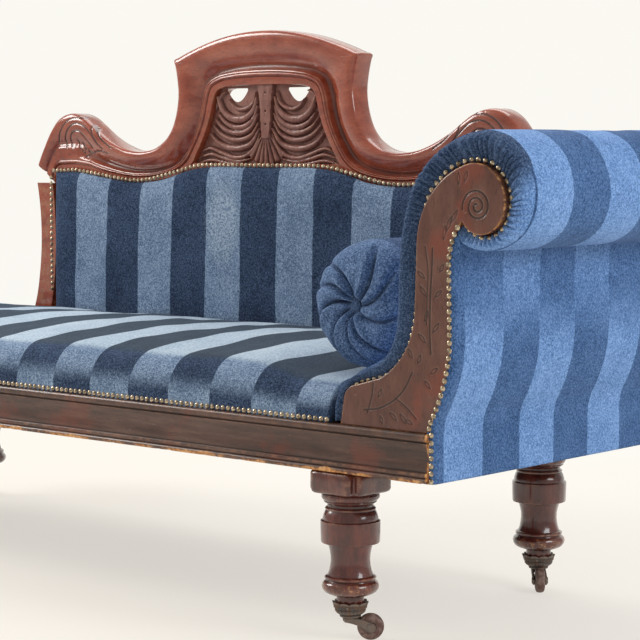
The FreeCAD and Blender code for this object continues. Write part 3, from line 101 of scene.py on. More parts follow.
class Finish:
    """A material that is wired up node by node."""

    def __init__(self, name):
        self.material = bpy.data.materials.new(name)
        self.material.use_nodes = True
        self.tree = self.material.node_tree
        self.shader = self.tree.nodes["Principled BSDF"]
        self.place = self.node("ShaderNodeTexCoord", {}, out="Object")

    def node(self, kind, inputs, out=0, stops=(), **settings):
        """Adds a node: its settings first, then a value or a link for each socket. Returns one output."""
        node = self.tree.nodes.new(kind)
        for name, value in settings.items():
            setattr(node, name, value)
        if stops:
            ramp = node.color_ramp
            while len(ramp.elements) < len(stops):
                ramp.elements.new(0.5)
            for element, (place, colour) in zip(ramp.elements, stops):
                element.position = place
                element.color = (*colour, 1)
        pairs = inputs.items() if isinstance(inputs, dict) else enumerate(inputs)
        for key, value in pairs:
            socket = node.inputs[key]
            if isinstance(value, Wire):
                self.tree.links.new(value.socket, socket)
            elif hasattr(value, "__len__") and socket.type == "RGBA" and len(value) == 3:
                socket.default_value = (*value, 1)
            else:
                socket.default_value = value
        return Wire(self, node.outputs[out])

    def noise(self, scale, detail=4.0, roughness=0.5, place=None):
        inputs = {"Vector": place or self.place, "Scale": scale, "Detail": detail, "Roughness": roughness}
        return self.node("ShaderNodeTexNoise", inputs, out=0)

    def stretched(self, x, y, z):
        """The place on the object, with each direction scaled, for grain and brushed marks."""
        return self.node("ShaderNodeVectorMath", [self.place, (x, y, z)], operation="MULTIPLY")

    def axis(self, name):
        return self.node("ShaderNodeSeparateXYZ", [self.place], out=name)

    def mix(self, share, first, second):
        """From the first colour at 0 to the second at 1."""
        inputs = {0: share, 6: first, 7: second}
        return self.node("ShaderNodeMix", inputs, out=2, data_type="RGBA")

    def ramp(self, value, *stops):
        return self.node("ShaderNodeValToRGB", [value], stops=stops)

    def bump(self, height, distance, strength=1.0, under=None):
        inputs = {"Height": height, "Distance": distance, "Strength": strength}
        if under:
            inputs["Normal"] = under
        return self.node("ShaderNodeBump", inputs)

    def set(self, **sockets):
        for name, value in sockets.items():
            socket = self.shader.inputs[name.replace("_", " ")]
            if isinstance(value, Wire):
                self.tree.links.new(value.socket, socket)
            elif hasattr(value, "__len__") and len(value) == 3 and socket.type == "RGBA":
                socket.default_value = (*value, 1)
            else:
                socket.default_value = value
        return self.material


def stage_piece(name, points, faces):
    mesh = bpy.data.meshes.new(name)
    mesh.from_pydata(points, [], faces)
    mesh.shade_smooth()
    item = bpy.data.objects.new(name, mesh)
    scene.collection.objects.link(item)
    return item


floor_side = 18.0
wall_back = 13.0
bend = 3.0
floor_rows = [(-floor_side, 0.0), (wall_back - bend, 0.0)]
floor_rows += [
    (wall_back - bend + bend * math.sin(turn), bend - bend * math.cos(turn))
    for turn in np.linspace(0.1, math.pi / 2, 14)
]
floor_rows.append((wall_back, 9.0))
sweep_way = Vector((-math.sin(math.radians(41.11)), math.cos(math.radians(41.11)), 0))
sweep_side = Vector((sweep_way.y, -sweep_way.x, 0))
floor_points = []
for reach, height in floor_rows:
    for side in (-floor_side, floor_side):
        floor_points.append(sweep_way * reach + sweep_side * side + Vector((0, 0, height)))
floor_faces = [(2 * row, 2 * row + 1, 2 * row + 3, 2 * row + 2) for row in range(len(floor_rows) - 1)]
floor = stage_piece("floor", floor_points, floor_faces)
cream = Finish("cream_floor")
cream.set(Base_Color=(0.90, 0.85, 0.78), Roughness=0.7, Specular_IOR_Level=0.3)
# The floor and wall glow for the camera and in reflections, in soft cloudy patches and brighter towards the
# wall: painted light on the backdrop.
cloud = cream.noise(0.9, 3.0).above(0.3, 0.75)
glow = cream.mix(cloud, (1.0, 0.965, 0.90), (0.97, 0.92, 0.85))
far = cream.axis("Y").above(0.4, 2.2)
glow = cream.mix(far, glow, (1.0, 0.985, 0.93))
self_lit = cream.node("ShaderNodeEmission", {"Color": glow, "Strength": 1.0}, out="Emission")
seen = cream.node("ShaderNodeLightPath", {}, out="Is Camera Ray")
mirrored = cream.node("ShaderNodeLightPath", {}, out="Is Glossy Ray")
lit = Wire(cream, cream.shader.outputs["BSDF"])
blend = cream.node("ShaderNodeMixShader", [(seen + mirrored) * (0.62 + far * 0.3), lit, self_lit])
cream.tree.links.new(blend.socket, cream.tree.nodes["Material Output"].inputs["Surface"])
floor.data.materials.append(cream.material)

world = bpy.data.worlds.new("room")
scene.world = world
world.use_nodes = True
sky = world.node_tree.nodes["Background"]
sky.inputs["Color"].default_value = (1.0, 0.985, 0.955, 1)
sky.inputs["Strength"].default_value = 0.50


def soft_lamp(name, place, target, side, power, colour):
    lamp = bpy.data.objects.new(name, bpy.data.lights.new(name, "AREA"))
    lamp.data.shape = "SQUARE"
    lamp.data.size = side
    lamp.data.energy = power
    lamp.data.color = colour
    lamp.location = place
    lamp.rotation_euler = (Vector(target) - Vector(place)).to_track_quat("-Z", "Y").to_euler()
    scene.collection.objects.link(lamp)


soft_lamp("window_left", (-2.9, -1.5, 2.5), (0, 0, 0.5), 1.5, 84, (1.0, 0.98, 0.95))
soft_lamp("window_right", (3.6, 0.1, 1.7), (0.6, 0, 0.45), 1.3, 40, (0.95, 0.98, 1.0))
soft_lamp("ceiling", (-0.4, 1.0, 3.1), (0, 0.1, 0.5), 2.2, 44, (1.0, 0.99, 0.97))

# The seat frame: beech rails, rear leg blocks and glue blocks, tenoned and glued. Little of them shows
# once the couch is covered, so they keep their solids and get a planed beech finish.
front_low, front_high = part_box("front_rail_moulding")
rail_corner = Vector((front_high.x, front_low.y, 0))


def beech_finish():
    beech = Finish("frame_beech")
    grain = beech.noise(7.0, 6.0, 0.6, beech.stretched(1.0, 14.0, 14.0))
    fleck = beech.noise(160.0, 3.0, 0.6, beech.stretched(0.35, 1.0, 1.0))
    pores = fleck.above(0.52, 0.66)
    colour = beech.ramp(
        grain, (0.3, (0.47, 0.29, 0.15)), (0.55, (0.60, 0.40, 0.23)), (0.75, (0.68, 0.48, 0.29))
    )
    colour = beech.mix(pores * 0.45, colour, (0.30, 0.17, 0.08))
    grime = beech.noise(5.0, 5.0, 0.6).above(0.45, 0.75)
    colour = beech.mix(grime * 0.35, colour, (0.22, 0.15, 0.10))
    normal = beech.bump(grain + pores * 0.5, 0.0006, 0.6)
    return beech.set(Base_Color=colour, Roughness=0.62 + grain * 0.1, Normal=normal)


def refinish(material, *names):
    """Gives CAD nodes that keep their own shape a finer material."""
    for name in names:
        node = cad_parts[name]
        node.data.materials.clear()
        node.data.materials.append(material)


frame_beech = beech_finish()
refinish(
    frame_beech,
    "front_seat_rail",
    "rear_seat_rail",
    "head_seat_rail",
    "foot_seat_rail",
    "rear_leg_blocks",
    "corner_braces",
)

# The rail mouldings: mahogany worked to a bead, a fine groove, a broad shallow cove and a lower bead,
# glued to the front and foot rails and mitred at the foot corner. The polish is rubbed off its low edge.


def mahogany_finish(
    name,
    dark,
    middle,
    light,
    gloss,
    wear=None,
    patches=0.0,
    along=(1.0, 9.0, 9.0),
    scars=0.5,
    coat=0.25,
    cut=False,
):
    """French-polished mahogany: streaked grain, dark pores, dirt and painted shade in hollows, and what else
    is asked for.
    """
    wood = Finish(name)
    streak = wood.noise(9.0, 7.0, 0.62, wood.stretched(*along))
    broad = wood.noise(4.0, 4.0, 0.55)
    tone = streak * 0.65 + broad * 0.35
    colour = wood.ramp(tone, (0.34, dark), (0.5, middle), (0.66, light))
    pore_lines = wood.noise(230.0, 2.0, 0.5, wood.stretched(*(0.25 * side for side in along)))
    pores = pore_lines.above(0.56, 0.68)
    colour = wood.mix(pores * 0.35, colour, tuple(0.35 * part for part in dark))
    if patches:
        red = wood.noise(11.0, 5.0, 0.6).above(0.52, 0.66)
        colour = wood.mix(red * patches, colour, (0.23, 0.045, 0.02))
    # Hollows are darker and rougher: dirt, with a painted shade in the colour.
    hollow = wood.node("ShaderNodeNewGeometry", {}, out="Pointiness")
    hollow_dirt_and_shade = 1 - hollow.above(0.44, 0.5)
    colour = wood.mix(hollow_dirt_and_shade * 0.6, colour, (0.022, 0.009, 0.006))
    edge = hollow.above(0.515, 0.56)
    rubbed = edge * wood.noise(60.0, 4.0, 0.6).above(0.45, 0.62)
    colour = wood.mix(rubbed * 0.55, colour, (0.36, 0.16, 0.08))
    nicks = wood.noise(75.0, 6.0, 0.75, wood.stretched(1.0, 2.6, 1.7)).above(0.645, 0.685)
    colour = wood.mix(nicks * scars, colour, (0.42, 0.27, 0.19))
    # With cut, painted shade fills each incised line, and just beside it the wood is a little lighter.
    if cut:
        groove = wood.node("ShaderNodeAttribute", {}, out="Fac", attribute_name="cut_depth")
        flank = groove.above(0.0, 0.12) * (1 - groove.above(0.12, 0.3))
        colour = wood.mix(flank * 0.2, colour, (0.30, 0.17, 0.12))
        colour = wood.mix(groove.above(0.16, 0.6) * 0.8, colour, (0.024, 0.010, 0.007))
    rough = gloss + streak * 0.12 + hollow_dirt_and_shade * 0.25 + nicks * 0.3
    height = streak * 0.12 + pores * -0.3 + nicks * (-1.6 * scars)
    if wear:
        bare = wear(wood)
        fibres = wood.noise(120.0, 4.0, 0.6)
        bare_colour = wood.ramp(
            fibres, (0.35, (0.30, 0.10, 0.025)), (0.5, (0.62, 0.28, 0.09)), (0.65, (0.80, 0.46, 0.2))
        )
        colour = wood.mix(bare, colour, bare_colour)
        rough = rough + bare * 0.4
        height = height + bare * -1.2
    normal = wood.bump(height, 0.0006, 0.7)
    return wood.set(
        Base_Color=colour,
        Roughness=rough,
        Normal=normal,
        Coat_Weight=coat,
        Coat_Roughness=0.12,
        Specular_IOR_Level=0.35,
    )


def ring_faces(rows, columns, close_rows=False, close_columns=True):
    """Quads over a grid of points that is stored row by row."""
    faces = []
    for row in range(rows if close_rows else rows - 1):
        here, after = row * columns, (row + 1) % rows * columns
        for column in range(columns if close_columns else columns - 1):
            beside = (column + 1) % columns
            faces.append((here + column, here + beside, after + beside, after + column))
    return faces


def smooth_line(points, places):
    """A smooth line through points, read at places measured along it from 0 to 1."""
    points = np.array(points, float)
    along = np.concatenate([[0.0], np.cumsum(np.linalg.norm(np.diff(points, axis=0), axis=1))])
    return smooth_values(points, along / along[-1], places)


def smooth_values(values, along, places):
    """Values known at some places along a line, read at other places with no corners."""
    values = np.array(values, float)
    slope = np.gradient(values, along, axis=0)
    places = np.clip(places, along[0], along[-1])
    left = np.clip(np.searchsorted(along, places, side="right") - 1, 0, len(along) - 2)
    gap = (along[left + 1] - along[left])[:, None]
    t = (places - along[left])[:, None] / gap
    first, last = values[left], values[left + 1]
    out = first * (1 + 2 * t) * (1 - t) ** 2 + slope[left] * gap * t * (1 - t) ** 2
    return out + last * t * t * (3 - 2 * t) + slope[left + 1] * gap * t * t * (t - 1)


def waves(points, size, seed):
    """A smooth random height at each point, from about -1 to 1, in ripples about as long as size."""
    draw = np.random.default_rng(seed)
    total = np.zeros(len(points))
    for ripple in range(7):
        way = draw.normal(size=3)
        way *= 2 * math.pi / (size * (0.6 + 0.15 * ripple)) / np.linalg.norm(way)
        total += np.sin(points @ way + draw.uniform(0, 2 * math.pi))
    return total / 3.5


def put_in(name, mesh, material, stands_for, body="couch", sharp=None):
    """Shows a mesh as a piece that rides on a body and stands for CAD nodes."""
    mesh.shade_smooth()
    if sharp:
        mesh.set_sharp_from_angle(angle=math.radians(sharp))
    mesh.materials.clear()
    mesh.materials.append(material)
    item = bpy.data.objects.new(name, mesh)
    scene.collection.objects.link(item)
    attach(item, body)
    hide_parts(*stands_for)
    return item


def new_piece(name, points, faces, material, stands_for, body="couch", sharp=None):
    """A piece whose points are laid out in millimetres from the rail corner."""
    mesh = bpy.data.meshes.new(name)
    mesh.from_pydata((np.array(points) * 0.001 + np.array(rail_corner)).tolist(), [], faces)
    work = bmesh.new()
    work.from_mesh(mesh)
    bmesh.ops.remove_doubles(work, verts=work.verts, dist=0.00001)
    bmesh.ops.recalc_face_normals(work, faces=work.faces)
    work.to_mesh(mesh)
    work.free()
    return put_in(name, mesh, material, stands_for, body, sharp)


def low_edge_wear(wood):
    """Bare, chipped wood along the rail's bottom edge and down its right-hand end."""
    height = wood.axis("Z")
    along = wood.axis("X")
    ragged = wood.noise(38.0, 6.0, 0.65, wood.stretched(0.5, 1.0, 1.0))
    low = 1 - (height - rail_low - 0.0075 * ragged.above(0.35, 0.75)).above(0.0, 0.0035)
    patch = wood.noise(6.0, 3.0, 0.5).above(0.35, 0.55)
    chips = ragged.above(0.42, 0.5)
    right = (along + 0.008 * ragged - rail_corner.x - 0.0005).above(0.0, 0.002)
    return (low * chips * (0.35 + 0.65 * patch)).math("MAXIMUM", right * ragged.above(0.4, 0.5))


rail_low = front_low.z
rail_depth = (front_high.y - front_low.y) * 1000
rail_end = (front_low.x - front_high.x) * 1000
foot_low, foot_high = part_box("foot_rail_moulding")
rail_height = 71.0
length_steps = np.linspace(0, 1, 241)
foot_run = (foot_high.y - foot_low.y) * 1000
section = [
    (rail_depth, 0.0), (3.5, 0.0), (1.4, 0.8), (0.6, 2.4), (0.4, 5.5), (1.6, 7.2), (3.4, 8.0),
    (2.4, 9.2), (1.3, 11.5), (1.6, 14.2), (3.2, 15.4), (5.6, 15.9), (5.2, 18.5), (5.9, 24.0),
    (6.6, 30.0), (7.0, 36.0), (6.7, 42.0), (5.6, 48.0), (3.9, 53.0), (2.9, 56.0), (2.8, 57.3),
    (4.9, 57.9), (4.9, 59.2), (2.2, 59.8), (0.7, 61.4), (0.1, 64.0), (0.2, 67.0), (1.3, 69.4),
    (3.4, 70.8), (6.0, rail_height), (rail_depth, rail_height),
]
section = np.array(section)
section[:, 1] += rail_low * 1000
show_wood_brown = mahogany_finish(
    "rail_mahogany",
    (0.042, 0.019, 0.013), (0.088, 0.043, 0.030), (0.155, 0.083, 0.060),
    gloss=0.30,
    wear=low_edge_wear,
    patches=0.35,
)
for name, run in (("front_rail_moulding", -rail_end), ("foot_rail_moulding", foot_run)):
    points = []
    for step in length_steps:
        for inset, height in section:
            along = inset + (run - inset) * step
            if name == "front_rail_moulding":
                points.append((rail_end + along, inset, height))
            else:
                points.append((rail_end + inset, along, height))
    points = np.array(points)
    worn = np.clip(waves(points, 26, 3) - 0.35, 0, 1) * np.exp(-((points[:, 2] - rail_low * 1000) / 4.5) ** 2)
    inward = 1 if name == "front_rail_moulding" else 0
    front_part = points[:, inward] < (4 if inward else rail_end + 4)
    points[:, inward] += np.where(front_part, 2.2 * worn, 0)
    points[:, 2] += np.where(points[:, 2] < rail_low * 1000 + 2, 1.3 * worn, 0)
    faces = ring_faces(len(length_steps), len(section))
    ends = [tuple(range(len(section))), tuple(range((len(length_steps) - 1) * len(section), len(points)))]
    new_piece(name + "_run", points, faces + ends, show_wood_brown, [name], sharp=35)

# The legs: each is turned from one mahogany block, left square at the top with rounded edges and nicked
# corners. Below come a bead, a wide collar, a drawn-in waist and a bulge above the neck in the castor cup.
leg_profile = [
    (18.0, 46.0), (20.3, 58.0), (20.6, 62.0), (20.2, 65.5), (21.5, 67.6), (27.0, 68.7),
    (33.5, 70.4), (38.8, 73.6), (41.8, 78.2), (42.5, 82.6), (41.4, 86.6), (38.9, 89.4),
    (36.6, 90.6), (36.2, 91.6), (37.7, 92.7), (38.4, 94.4), (38.1, 96.2), (36.4, 97.6),
    (34.2, 98.4), (33.2, 100.6), (31.6, 105.0), (30.0, 112.0), (29.2, 120.0), (29.6, 128.0),
    (31.0, 136.0), (33.2, 142.8), (34.0, 144.4), (34.2, 145.9), (41.0, 146.2), (43.3, 147.2),
    (43.8, 149.0), (44.2, 163.0), (44.5, 177.0), (44.2, 179.4), (42.6, 180.4), (41.4, 181.2),
    (41.3, 183.4), (40.4, 188.0), (38.6, 192.6), (36.8, 195.4), (37.6, 196.4), (37.8, 198.2),
    (36.4, 199.6), (34.4, 200.8), (34.0, 203.0), (35.2, 205.2), (38.4, 206.6), (39.4, 208.0),
    (39.0, 209.4), (41.0, 210.8), (43.0, 213.6), (43.6, 216.6), (42.8, 219.4), (41.6, 221.0),
]
leg_turns = 120
block_low, block_half, block_round = 221.0, 48.5, 13.0
nick_depth, nick_width = 0.16, 0.10
# Rings of the square block: how far each lies in from the side, and how high above the block's foot.
block_rings = [
    (9.0, 0.0), (4.0, 1.0), (1.2, 3.2), (0.0, 6.6), (0.0, 28.6), (1.0, 31.6), (3.4, 33.8), (7.0, 34.8)
]


def leg_wear(wood):
    """Speckled wear on the fullest turnings and rubbed patches on the block's corners."""
    height = wood.axis("Z")
    bulge = height.above(0.066, 0.074) * (1 - height.above(0.084, 0.092))
    speckle = wood.noise(170.0, 4.0, 0.6).above(0.56, 0.64)
    block = height.above(0.220, 0.223)
    rubbed = wood.noise(24.0, 5.0, 0.7).above(0.60, 0.66)
    return (bulge * speckle * 0.55).math("MAXIMUM", block * rubbed * 0.7)


leg_mahogany = mahogany_finish(
    "leg_mahogany",
    (0.034, 0.007, 0.005), (0.088, 0.017, 0.011), (0.160, 0.036, 0.023),
    gloss=0.20,
    wear=leg_wear,
    patches=0.35,
    along=(7.0, 7.0, 1.2),
    scars=0.12,
    coat=0.9,
)


def rounded_square(half, corner, count):
    """Points round a square with rounded corners, from the middle of one side."""
    ring = []
    for side in range(4):
        for turn in np.linspace(-math.pi / 4, math.pi / 4, count // 4, endpoint=False):
            reach = half - corner
            angle = turn * 2
            if abs(angle) < math.pi / 4:
                x, y = half, reach * math.tan(angle)
            else:
                spare = abs(angle) - math.pi / 4
                x = reach + corner * math.cos(spare)
                y = math.copysign(reach + corner * math.sin(spare), angle)
            c, s = math.cos(side * math.pi / 2), math.sin(side * math.pi / 2)
            ring.append((x * c - y * s, x * s + y * c))
    return np.array(ring)


def leg_points(axis_x, axis_y, seed):
    round_turns = np.linspace(0, 2 * math.pi, leg_turns, endpoint=False)
    rings = []
    for radius, height in leg_profile:
        ring = radius * np.column_stack([np.cos(round_turns), np.sin(round_turns)])
        rings.append(np.column_stack([ring, np.full(leg_turns, height)]))
    for inset, height in block_rings:
        ring = rounded_square(block_half - inset, block_round, leg_turns)
        turn = np.arctan2(ring[:, 1], ring[:, 0]) % (math.pi / 2) - math.pi / 4
        ring = ring * (1 - nick_depth * np.exp(-((turn / nick_width) ** 2)))[:, None]
        rings.append(np.column_stack([ring, np.full(len(ring), block_low + height)]))
    points = np.concatenate(rings)
    dents = waves(points, 16, seed) * 0.22
    away = np.linalg.norm(points[:, :2], axis=1, keepdims=True)
    points[:, :2] *= 1 + dents[:, None] / np.maximum(away, 1)
    return points + (axis_x, axis_y, 0), len(rings)


leg_axes = {}
for where in ("front_head", "rear_head", "front_foot", "rear_foot"):
    low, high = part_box("leg_" + where)
    centre = ((low + high) / 2 - rail_corner) * 1000
    leg_axes[where] = (centre.x, centre.y)
    points, count = leg_points(centre.x, centre.y, 5 + len(leg_axes))
    faces = ring_faces(count, leg_turns)
    ends = [tuple(range(leg_turns)), tuple(range((count - 1) * leg_turns, count * leg_turns))]
    stands_for = ["leg_" + where]
    new_piece("turned_leg_" + where, points, faces + ends, leg_mahogany, stands_for, sharp=40)

# The castors: a cast cup with a flared, pointed rim screwed to the leg, a forged fork that swivels under it,
# and a small solid wheel on a riveted pin.
cast_iron = Finish("castor_iron")
rust = cast_iron.noise(90.0, 6.0, 0.65).above(0.42, 0.62)
iron_colour = cast_iron.mix(rust, (0.075, 0.062, 0.055), (0.135, 0.070, 0.042))
polish = cast_iron.node("ShaderNodeNewGeometry", {}, out="Pointiness").above(0.51, 0.56)
iron_colour = cast_iron.mix(polish * 0.5, iron_colour, (0.30, 0.25, 0.21))
cast_iron.set(
    Base_Color=iron_colour,
    Metallic=0.55 - rust * 0.4,
    Roughness=0.42 + rust * 0.35,
    Normal=cast_iron.bump(cast_iron.noise(260.0, 5.0, 0.7), 0.0005, 0.8),
)
wheel_finish = Finish("castor_wheel")
tread = wheel_finish.noise(110.0, 5.0, 0.65).above(0.4, 0.65)
wheel_finish.set(
    Base_Color=wheel_finish.mix(tread, (0.115, 0.052, 0.040), (0.27, 0.185, 0.155)),
    Roughness=0.45 + tread * 0.3,
    Normal=wheel_finish.bump(wheel_finish.noise(190.0, 4.0, 0.6), 0.0004, 0.6),
)
cup_profile = [
    (4.1, 34.0), (13.0, 34.0), (15.6, 35.2), (16.2, 37.4), (15.4, 38.8), (19.0, 40.0), (22.0, 42.6),
    (23.0, 45.4), (22.6, 47.6), (24.4, 48.8), (25.0, 50.6), (25.4, 53.0), (26.6, 55.6),
    (27.2, 58.4), (24.4, 58.2), (21.4, 57.0), (20.7, 54.0),
]
cup_turns = 120
wheel_profile = [
    (3.1, -6.6), (8.0, -6.6), (8.6, -7.6), (13.5, -7.8), (16.6, -7.0), (18.6, -5.8), (19.6, -3.4),
    (20.0, 0.0), (19.6, 3.4), (18.6, 5.8), (16.6, 7.0), (13.5, 7.8), (8.6, 7.6), (8.0, 6.6),
    (3.1, 6.6),
]
wheel_turns = 64
fork_outline = [
    (-9.0, 33.6), (4.0, 33.6), (12.0, 33.0), (20.0, 31.0), (28.0, 28.2), (34.0, 25.4), (37.6, 21.8),
    (37.4, 17.2), (34.4, 13.6), (30.0, 12.4), (25.6, 13.6), (21.0, 17.0), (14.0, 21.4), (5.0, 25.0),
    (-4.0, 27.4), (-9.0, 28.6),
]


def turned(points, axis_x, axis_y, heading):
    """Points of a castor, built about its swivel axis, turned to where its wheel trails."""
    c, s = math.cos(heading), math.sin(heading)
    points = np.array(points, float)
    x = points[:, 0] * c - points[:, 1] * s + axis_x
    y = points[:, 0] * s + points[:, 1] * c + axis_y
    return np.column_stack([x, y, points[:, 2]])


def bar(outline, low, high, soften):
    """A flat bar between two depths from its outline in the XZ plane, with softened edges."""
    outline = np.array(outline, float)
    middle = outline.mean(0)
    rings = []
    for depth, inset in ((low, soften), (low + soften, 0), (high - soften, 0), (high, soften)):
        away = outline - middle
        shrunk = middle + away * (1 - inset / np.linalg.norm(away, axis=1, keepdims=True))
        rings.append(np.column_stack([shrunk[:, 0], np.full(len(outline), depth), shrunk[:, 1]]))
    count = len(outline)
    faces = ring_faces(4, count)
    faces += [tuple(range(count)), tuple(range(3 * count, 4 * count))]
    return np.concatenate(rings), faces


def joined(parts):
    """Several point-and-face lists as one."""
    points, faces, start = [], [], 0
    for some_points, some_faces in parts:
        points.append(np.array(some_points, float))
        faces += [tuple(index + start for index in face) for face in some_faces]
        start += len(some_points)
    return np.concatenate(points), faces


def spun(profile, turns, ripple=None):
    """A turning about the upright axis from (radius, height) points."""
    angles = np.linspace(0, 2 * math.pi, turns, endpoint=False)
    rings = []
    for radius, height in profile:
        r = np.full(turns, float(radius))
        z = np.full(turns, float(height))
        if ripple:
            r, z = ripple(angles, r, z)
        rings.append(np.stack([r * np.cos(angles), r * np.sin(angles), z], 1))
    return np.concatenate(rings), ring_faces(len(profile), turns, close_rows=True)


def leafy_rim(angles, r, z):
    """Ten pointed leaves that flare out of the cup's rim."""
    lift = np.clip((z - 49) / 9, 0, 1)
    leaf = np.abs(np.cos(angles * 5)) ** 0.7
    bump = np.clip(1 - np.abs(z - 47) / 4, 0, 1) * np.cos(angles * 24) * 0.5
    return r - lift * (1 - leaf) * 2.4 + bump, z - lift * (1 - leaf) * 2.6


fine_outline = smooth_line(fork_outline + fork_outline[:1], np.linspace(0, 1, 61)[:-1])
for where, (axis_x, axis_y) in leg_axes.items():
    low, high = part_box("castor_wheel_" + where)
    hub = ((low + high) / 2 - rail_corner) * 1000
    heading = math.atan2(hub.y - axis_y, hub.x - axis_x)
    cup_points, cup_faces = spun(cup_profile, cup_turns, leafy_rim)
    cup_points = turned(cup_points, axis_x, axis_y, 0)
    stands_for = ["castor_cup_" + where]
    new_piece("cup_" + where, cup_points, cup_faces, cast_iron.material, stands_for, sharp=50)
    cheeks = [bar(fine_outline, 8.6, 11.6, 0.7), bar(fine_outline, -11.6, -8.6, 0.7)]
    boss_angles = np.linspace(0, 2 * math.pi, 32, endpoint=False)
    boss = np.stack([30 + 6.2 * np.cos(boss_angles), 20 + 6.2 * np.sin(boss_angles)], 1)
    cheeks += [bar(boss, 11.2, 12.4, 0.4), bar(boss, -12.4, -11.2, 0.4)]
    crown = [(4.0, 33.6), (11.2, 33.6), (11.8, 32.4), (11.2, 28.6), (4.0, 28.0)]
    cheeks.append(spun(crown, 48))
    cheeks.append(spun([(0.01, 28.2), (3.9, 28.2), (3.9, 42.0), (0.01, 42.4)], 32))
    fork_points, fork_faces = joined(cheeks)
    new_piece(
        "fork_horns_" + where,
        turned(fork_points, axis_x, axis_y, heading),
        fork_faces,
        cast_iron.material,
        ["castor_fork_" + where],
        "fork_" + where,
        sharp=40,
    )
    spin_points, wheel_faces = spun(wheel_profile, wheel_turns)
    wheel_points = np.column_stack([spin_points[:, 0] + 30, spin_points[:, 2], spin_points[:, 1] + 20])
    new_piece(
        "wheel_disc_" + where,
        turned(wheel_points, axis_x, axis_y, heading),
        wheel_faces,
        wheel_finish.material,
        ["castor_wheel_" + where],
        "wheel_" + where,
        sharp=50,
    )
    refinish(cast_iron.material, "castor_axle_" + where)
refinish(cast_iron.material, "castor_screws")

# The scroll arm's frame: two beech stumps sawn to the scroll, two rails between them and jute webbing
# tacked inside, all hidden by the covering.
refinish(frame_beech, "arm_front_stump", "arm_rear_stump", "arm_lower_rail", "arm_roll_rail")


def woven_finish(name, dark, light, threads, rough):
    """Plain-woven cloth: crossing threads a fixed number to the metre."""
    cloth = Finish(name)
    warp = (cloth.axis("X") * threads * 6.2832).math("SINE")
    weft = ((cloth.axis("Y") + cloth.axis("Z")) * threads * 6.2832).math("SINE")
    weave = warp * weft
    uneven = cloth.noise(threads * 0.12, 4.0, 0.6)
    shade = (weave * 0.25 + uneven).above(0.2, 0.85)
    colour = cloth.mix(shade, dark, light)
    stain = cloth.noise(3.0, 4.0, 0.6).above(0.5, 0.75)
    colour = cloth.mix(stain * 0.4, colour, tuple(0.5 * part for part in dark))
    normal = cloth.bump(weave + uneven, 0.0005, 0.8)
    rough = rough + uneven * 0.05
    return cloth.set(Base_Color=colour, Roughness=rough, Normal=normal, Specular_IOR_Level=0.2)


jute = woven_finish("jute", (0.23, 0.14, 0.065), (0.46, 0.32, 0.17), 420.0, 0.85)
refinish(jute, "arm_webbing", "seat_webbing", "back_webbing", "seat_hessian")

# The arm facing: a mahogany board sawn to the scroll and screwed to the front stump, with an incised spiral,
# a stem and sprays of leaves scratched into its flat face. Its edges are rubbed to bare wood.
face_y = (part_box("arm_facing")[0].y - rail_corner.y) * 1000


def spiral_line(centre, start, finish, turns, first_angle):
    angles = np.linspace(0, turns * 2 * math.pi, int(60 * turns))
    radius = start + (finish - start) * np.linspace(0, 1, len(angles)) ** 0.85
    turn = first_angle - angles
    return np.column_stack([centre[0] + radius * np.cos(turn), centre[1] + radius * np.sin(turn)])


def leaf_line(x, z, angle, length, bow):
    """One side of a small incised leaf."""
    t = np.linspace(0, 1, 9)
    way = np.array([math.cos(angle), math.sin(angle)])
    side = np.array([-way[1], way[0]])
    return np.array([x, z]) + np.outer(t * length, way) + np.outer(np.sin(t * math.pi) * bow, side)


incised = [(spiral_line((81, 647), 25.0, 3.0, 2.3, 3.35), 1.0)]
for points, steps, strength in (
    ([(5, 588), (4, 560), (2, 530), (1, 500), (1, 470), (3, 440)], 30, 0.9),
    ([(-8, 590), (-3, 560), (-4, 520), (-5, 480)], 24, 0.7),
    ([(-118, 352), (-92, 356), (-66, 368), (-44, 388), (-30, 412)], 30, 0.9),
    ([(-112, 348), (-104, 372), (-101, 392)], 16, 0.8),
    ([(-58, 372), (-38, 360), (-22, 346)], 16, 0.7),
):
    incised.append((smooth_line(points, np.linspace(0, 1, steps)), strength))
for x, z, angle, length in (
    (-8, 545, 2.5, 17), (-6, 520, 2.2, 18), (-2, 500, -2.0, 16), (10, 520, 0.7, 15),
    (6, 470, 0.9, 18), (-6, 455, 2.4, 18), (18, 555, 1.0, 14), (30, 612, 1.2, 22),
    (36, 622, 1.0, 24), (24, 600, 1.4, 20), (-30, 432, 2.1, 16), (-20, 425, 1.2, 14),
    (-92, 372, 1.1, 14), (-70, 352, -0.7, 16), (-52, 352, -0.9, 18), (-42, 344, -0.4, 14),
    (-88, 346, -1.2, 12), (2, 412, 0.6, 16), (-8, 402, -0.8, 15), (60, 680, 1.3, 16),
    (50, 676, 1.6, 18),
):
    for bow in (2.5, -2.5):
        incised.append((leaf_line(x, z, angle, length, bow), 0.6))


def carve_depth(x, z, lines, width):
    """How deep each point lies in the nearest incised line, from 0 to 1."""
    depth = np.zeros(len(x))
    for line, strength in lines:
        low, high = line.min(0) - 2 * width, line.max(0) + 2 * width
        near = np.where((x > low[0]) & (x < high[0]) & (z > low[1]) & (z < high[1]))[0]
        if not len(near):
            continue
        steps = int(np.linalg.norm(np.diff(line, axis=0), axis=1).sum() / 0.5) + 2
        fine = smooth_line(line, np.linspace(0, 1, steps))
        gap = np.full(len(near), 1e9)
        for chunk in np.array_split(fine, max(1, len(fine) // 60)):
            square = (x[near, None] - chunk[None, :, 0]) ** 2 + (z[near, None] - chunk[None, :, 1]) ** 2
            gap = np.minimum(gap, square.min(1))
        depth[near] = np.maximum(depth[near], strength * np.clip(1 - np.sqrt(gap) / width, 0, 1))
    return depth


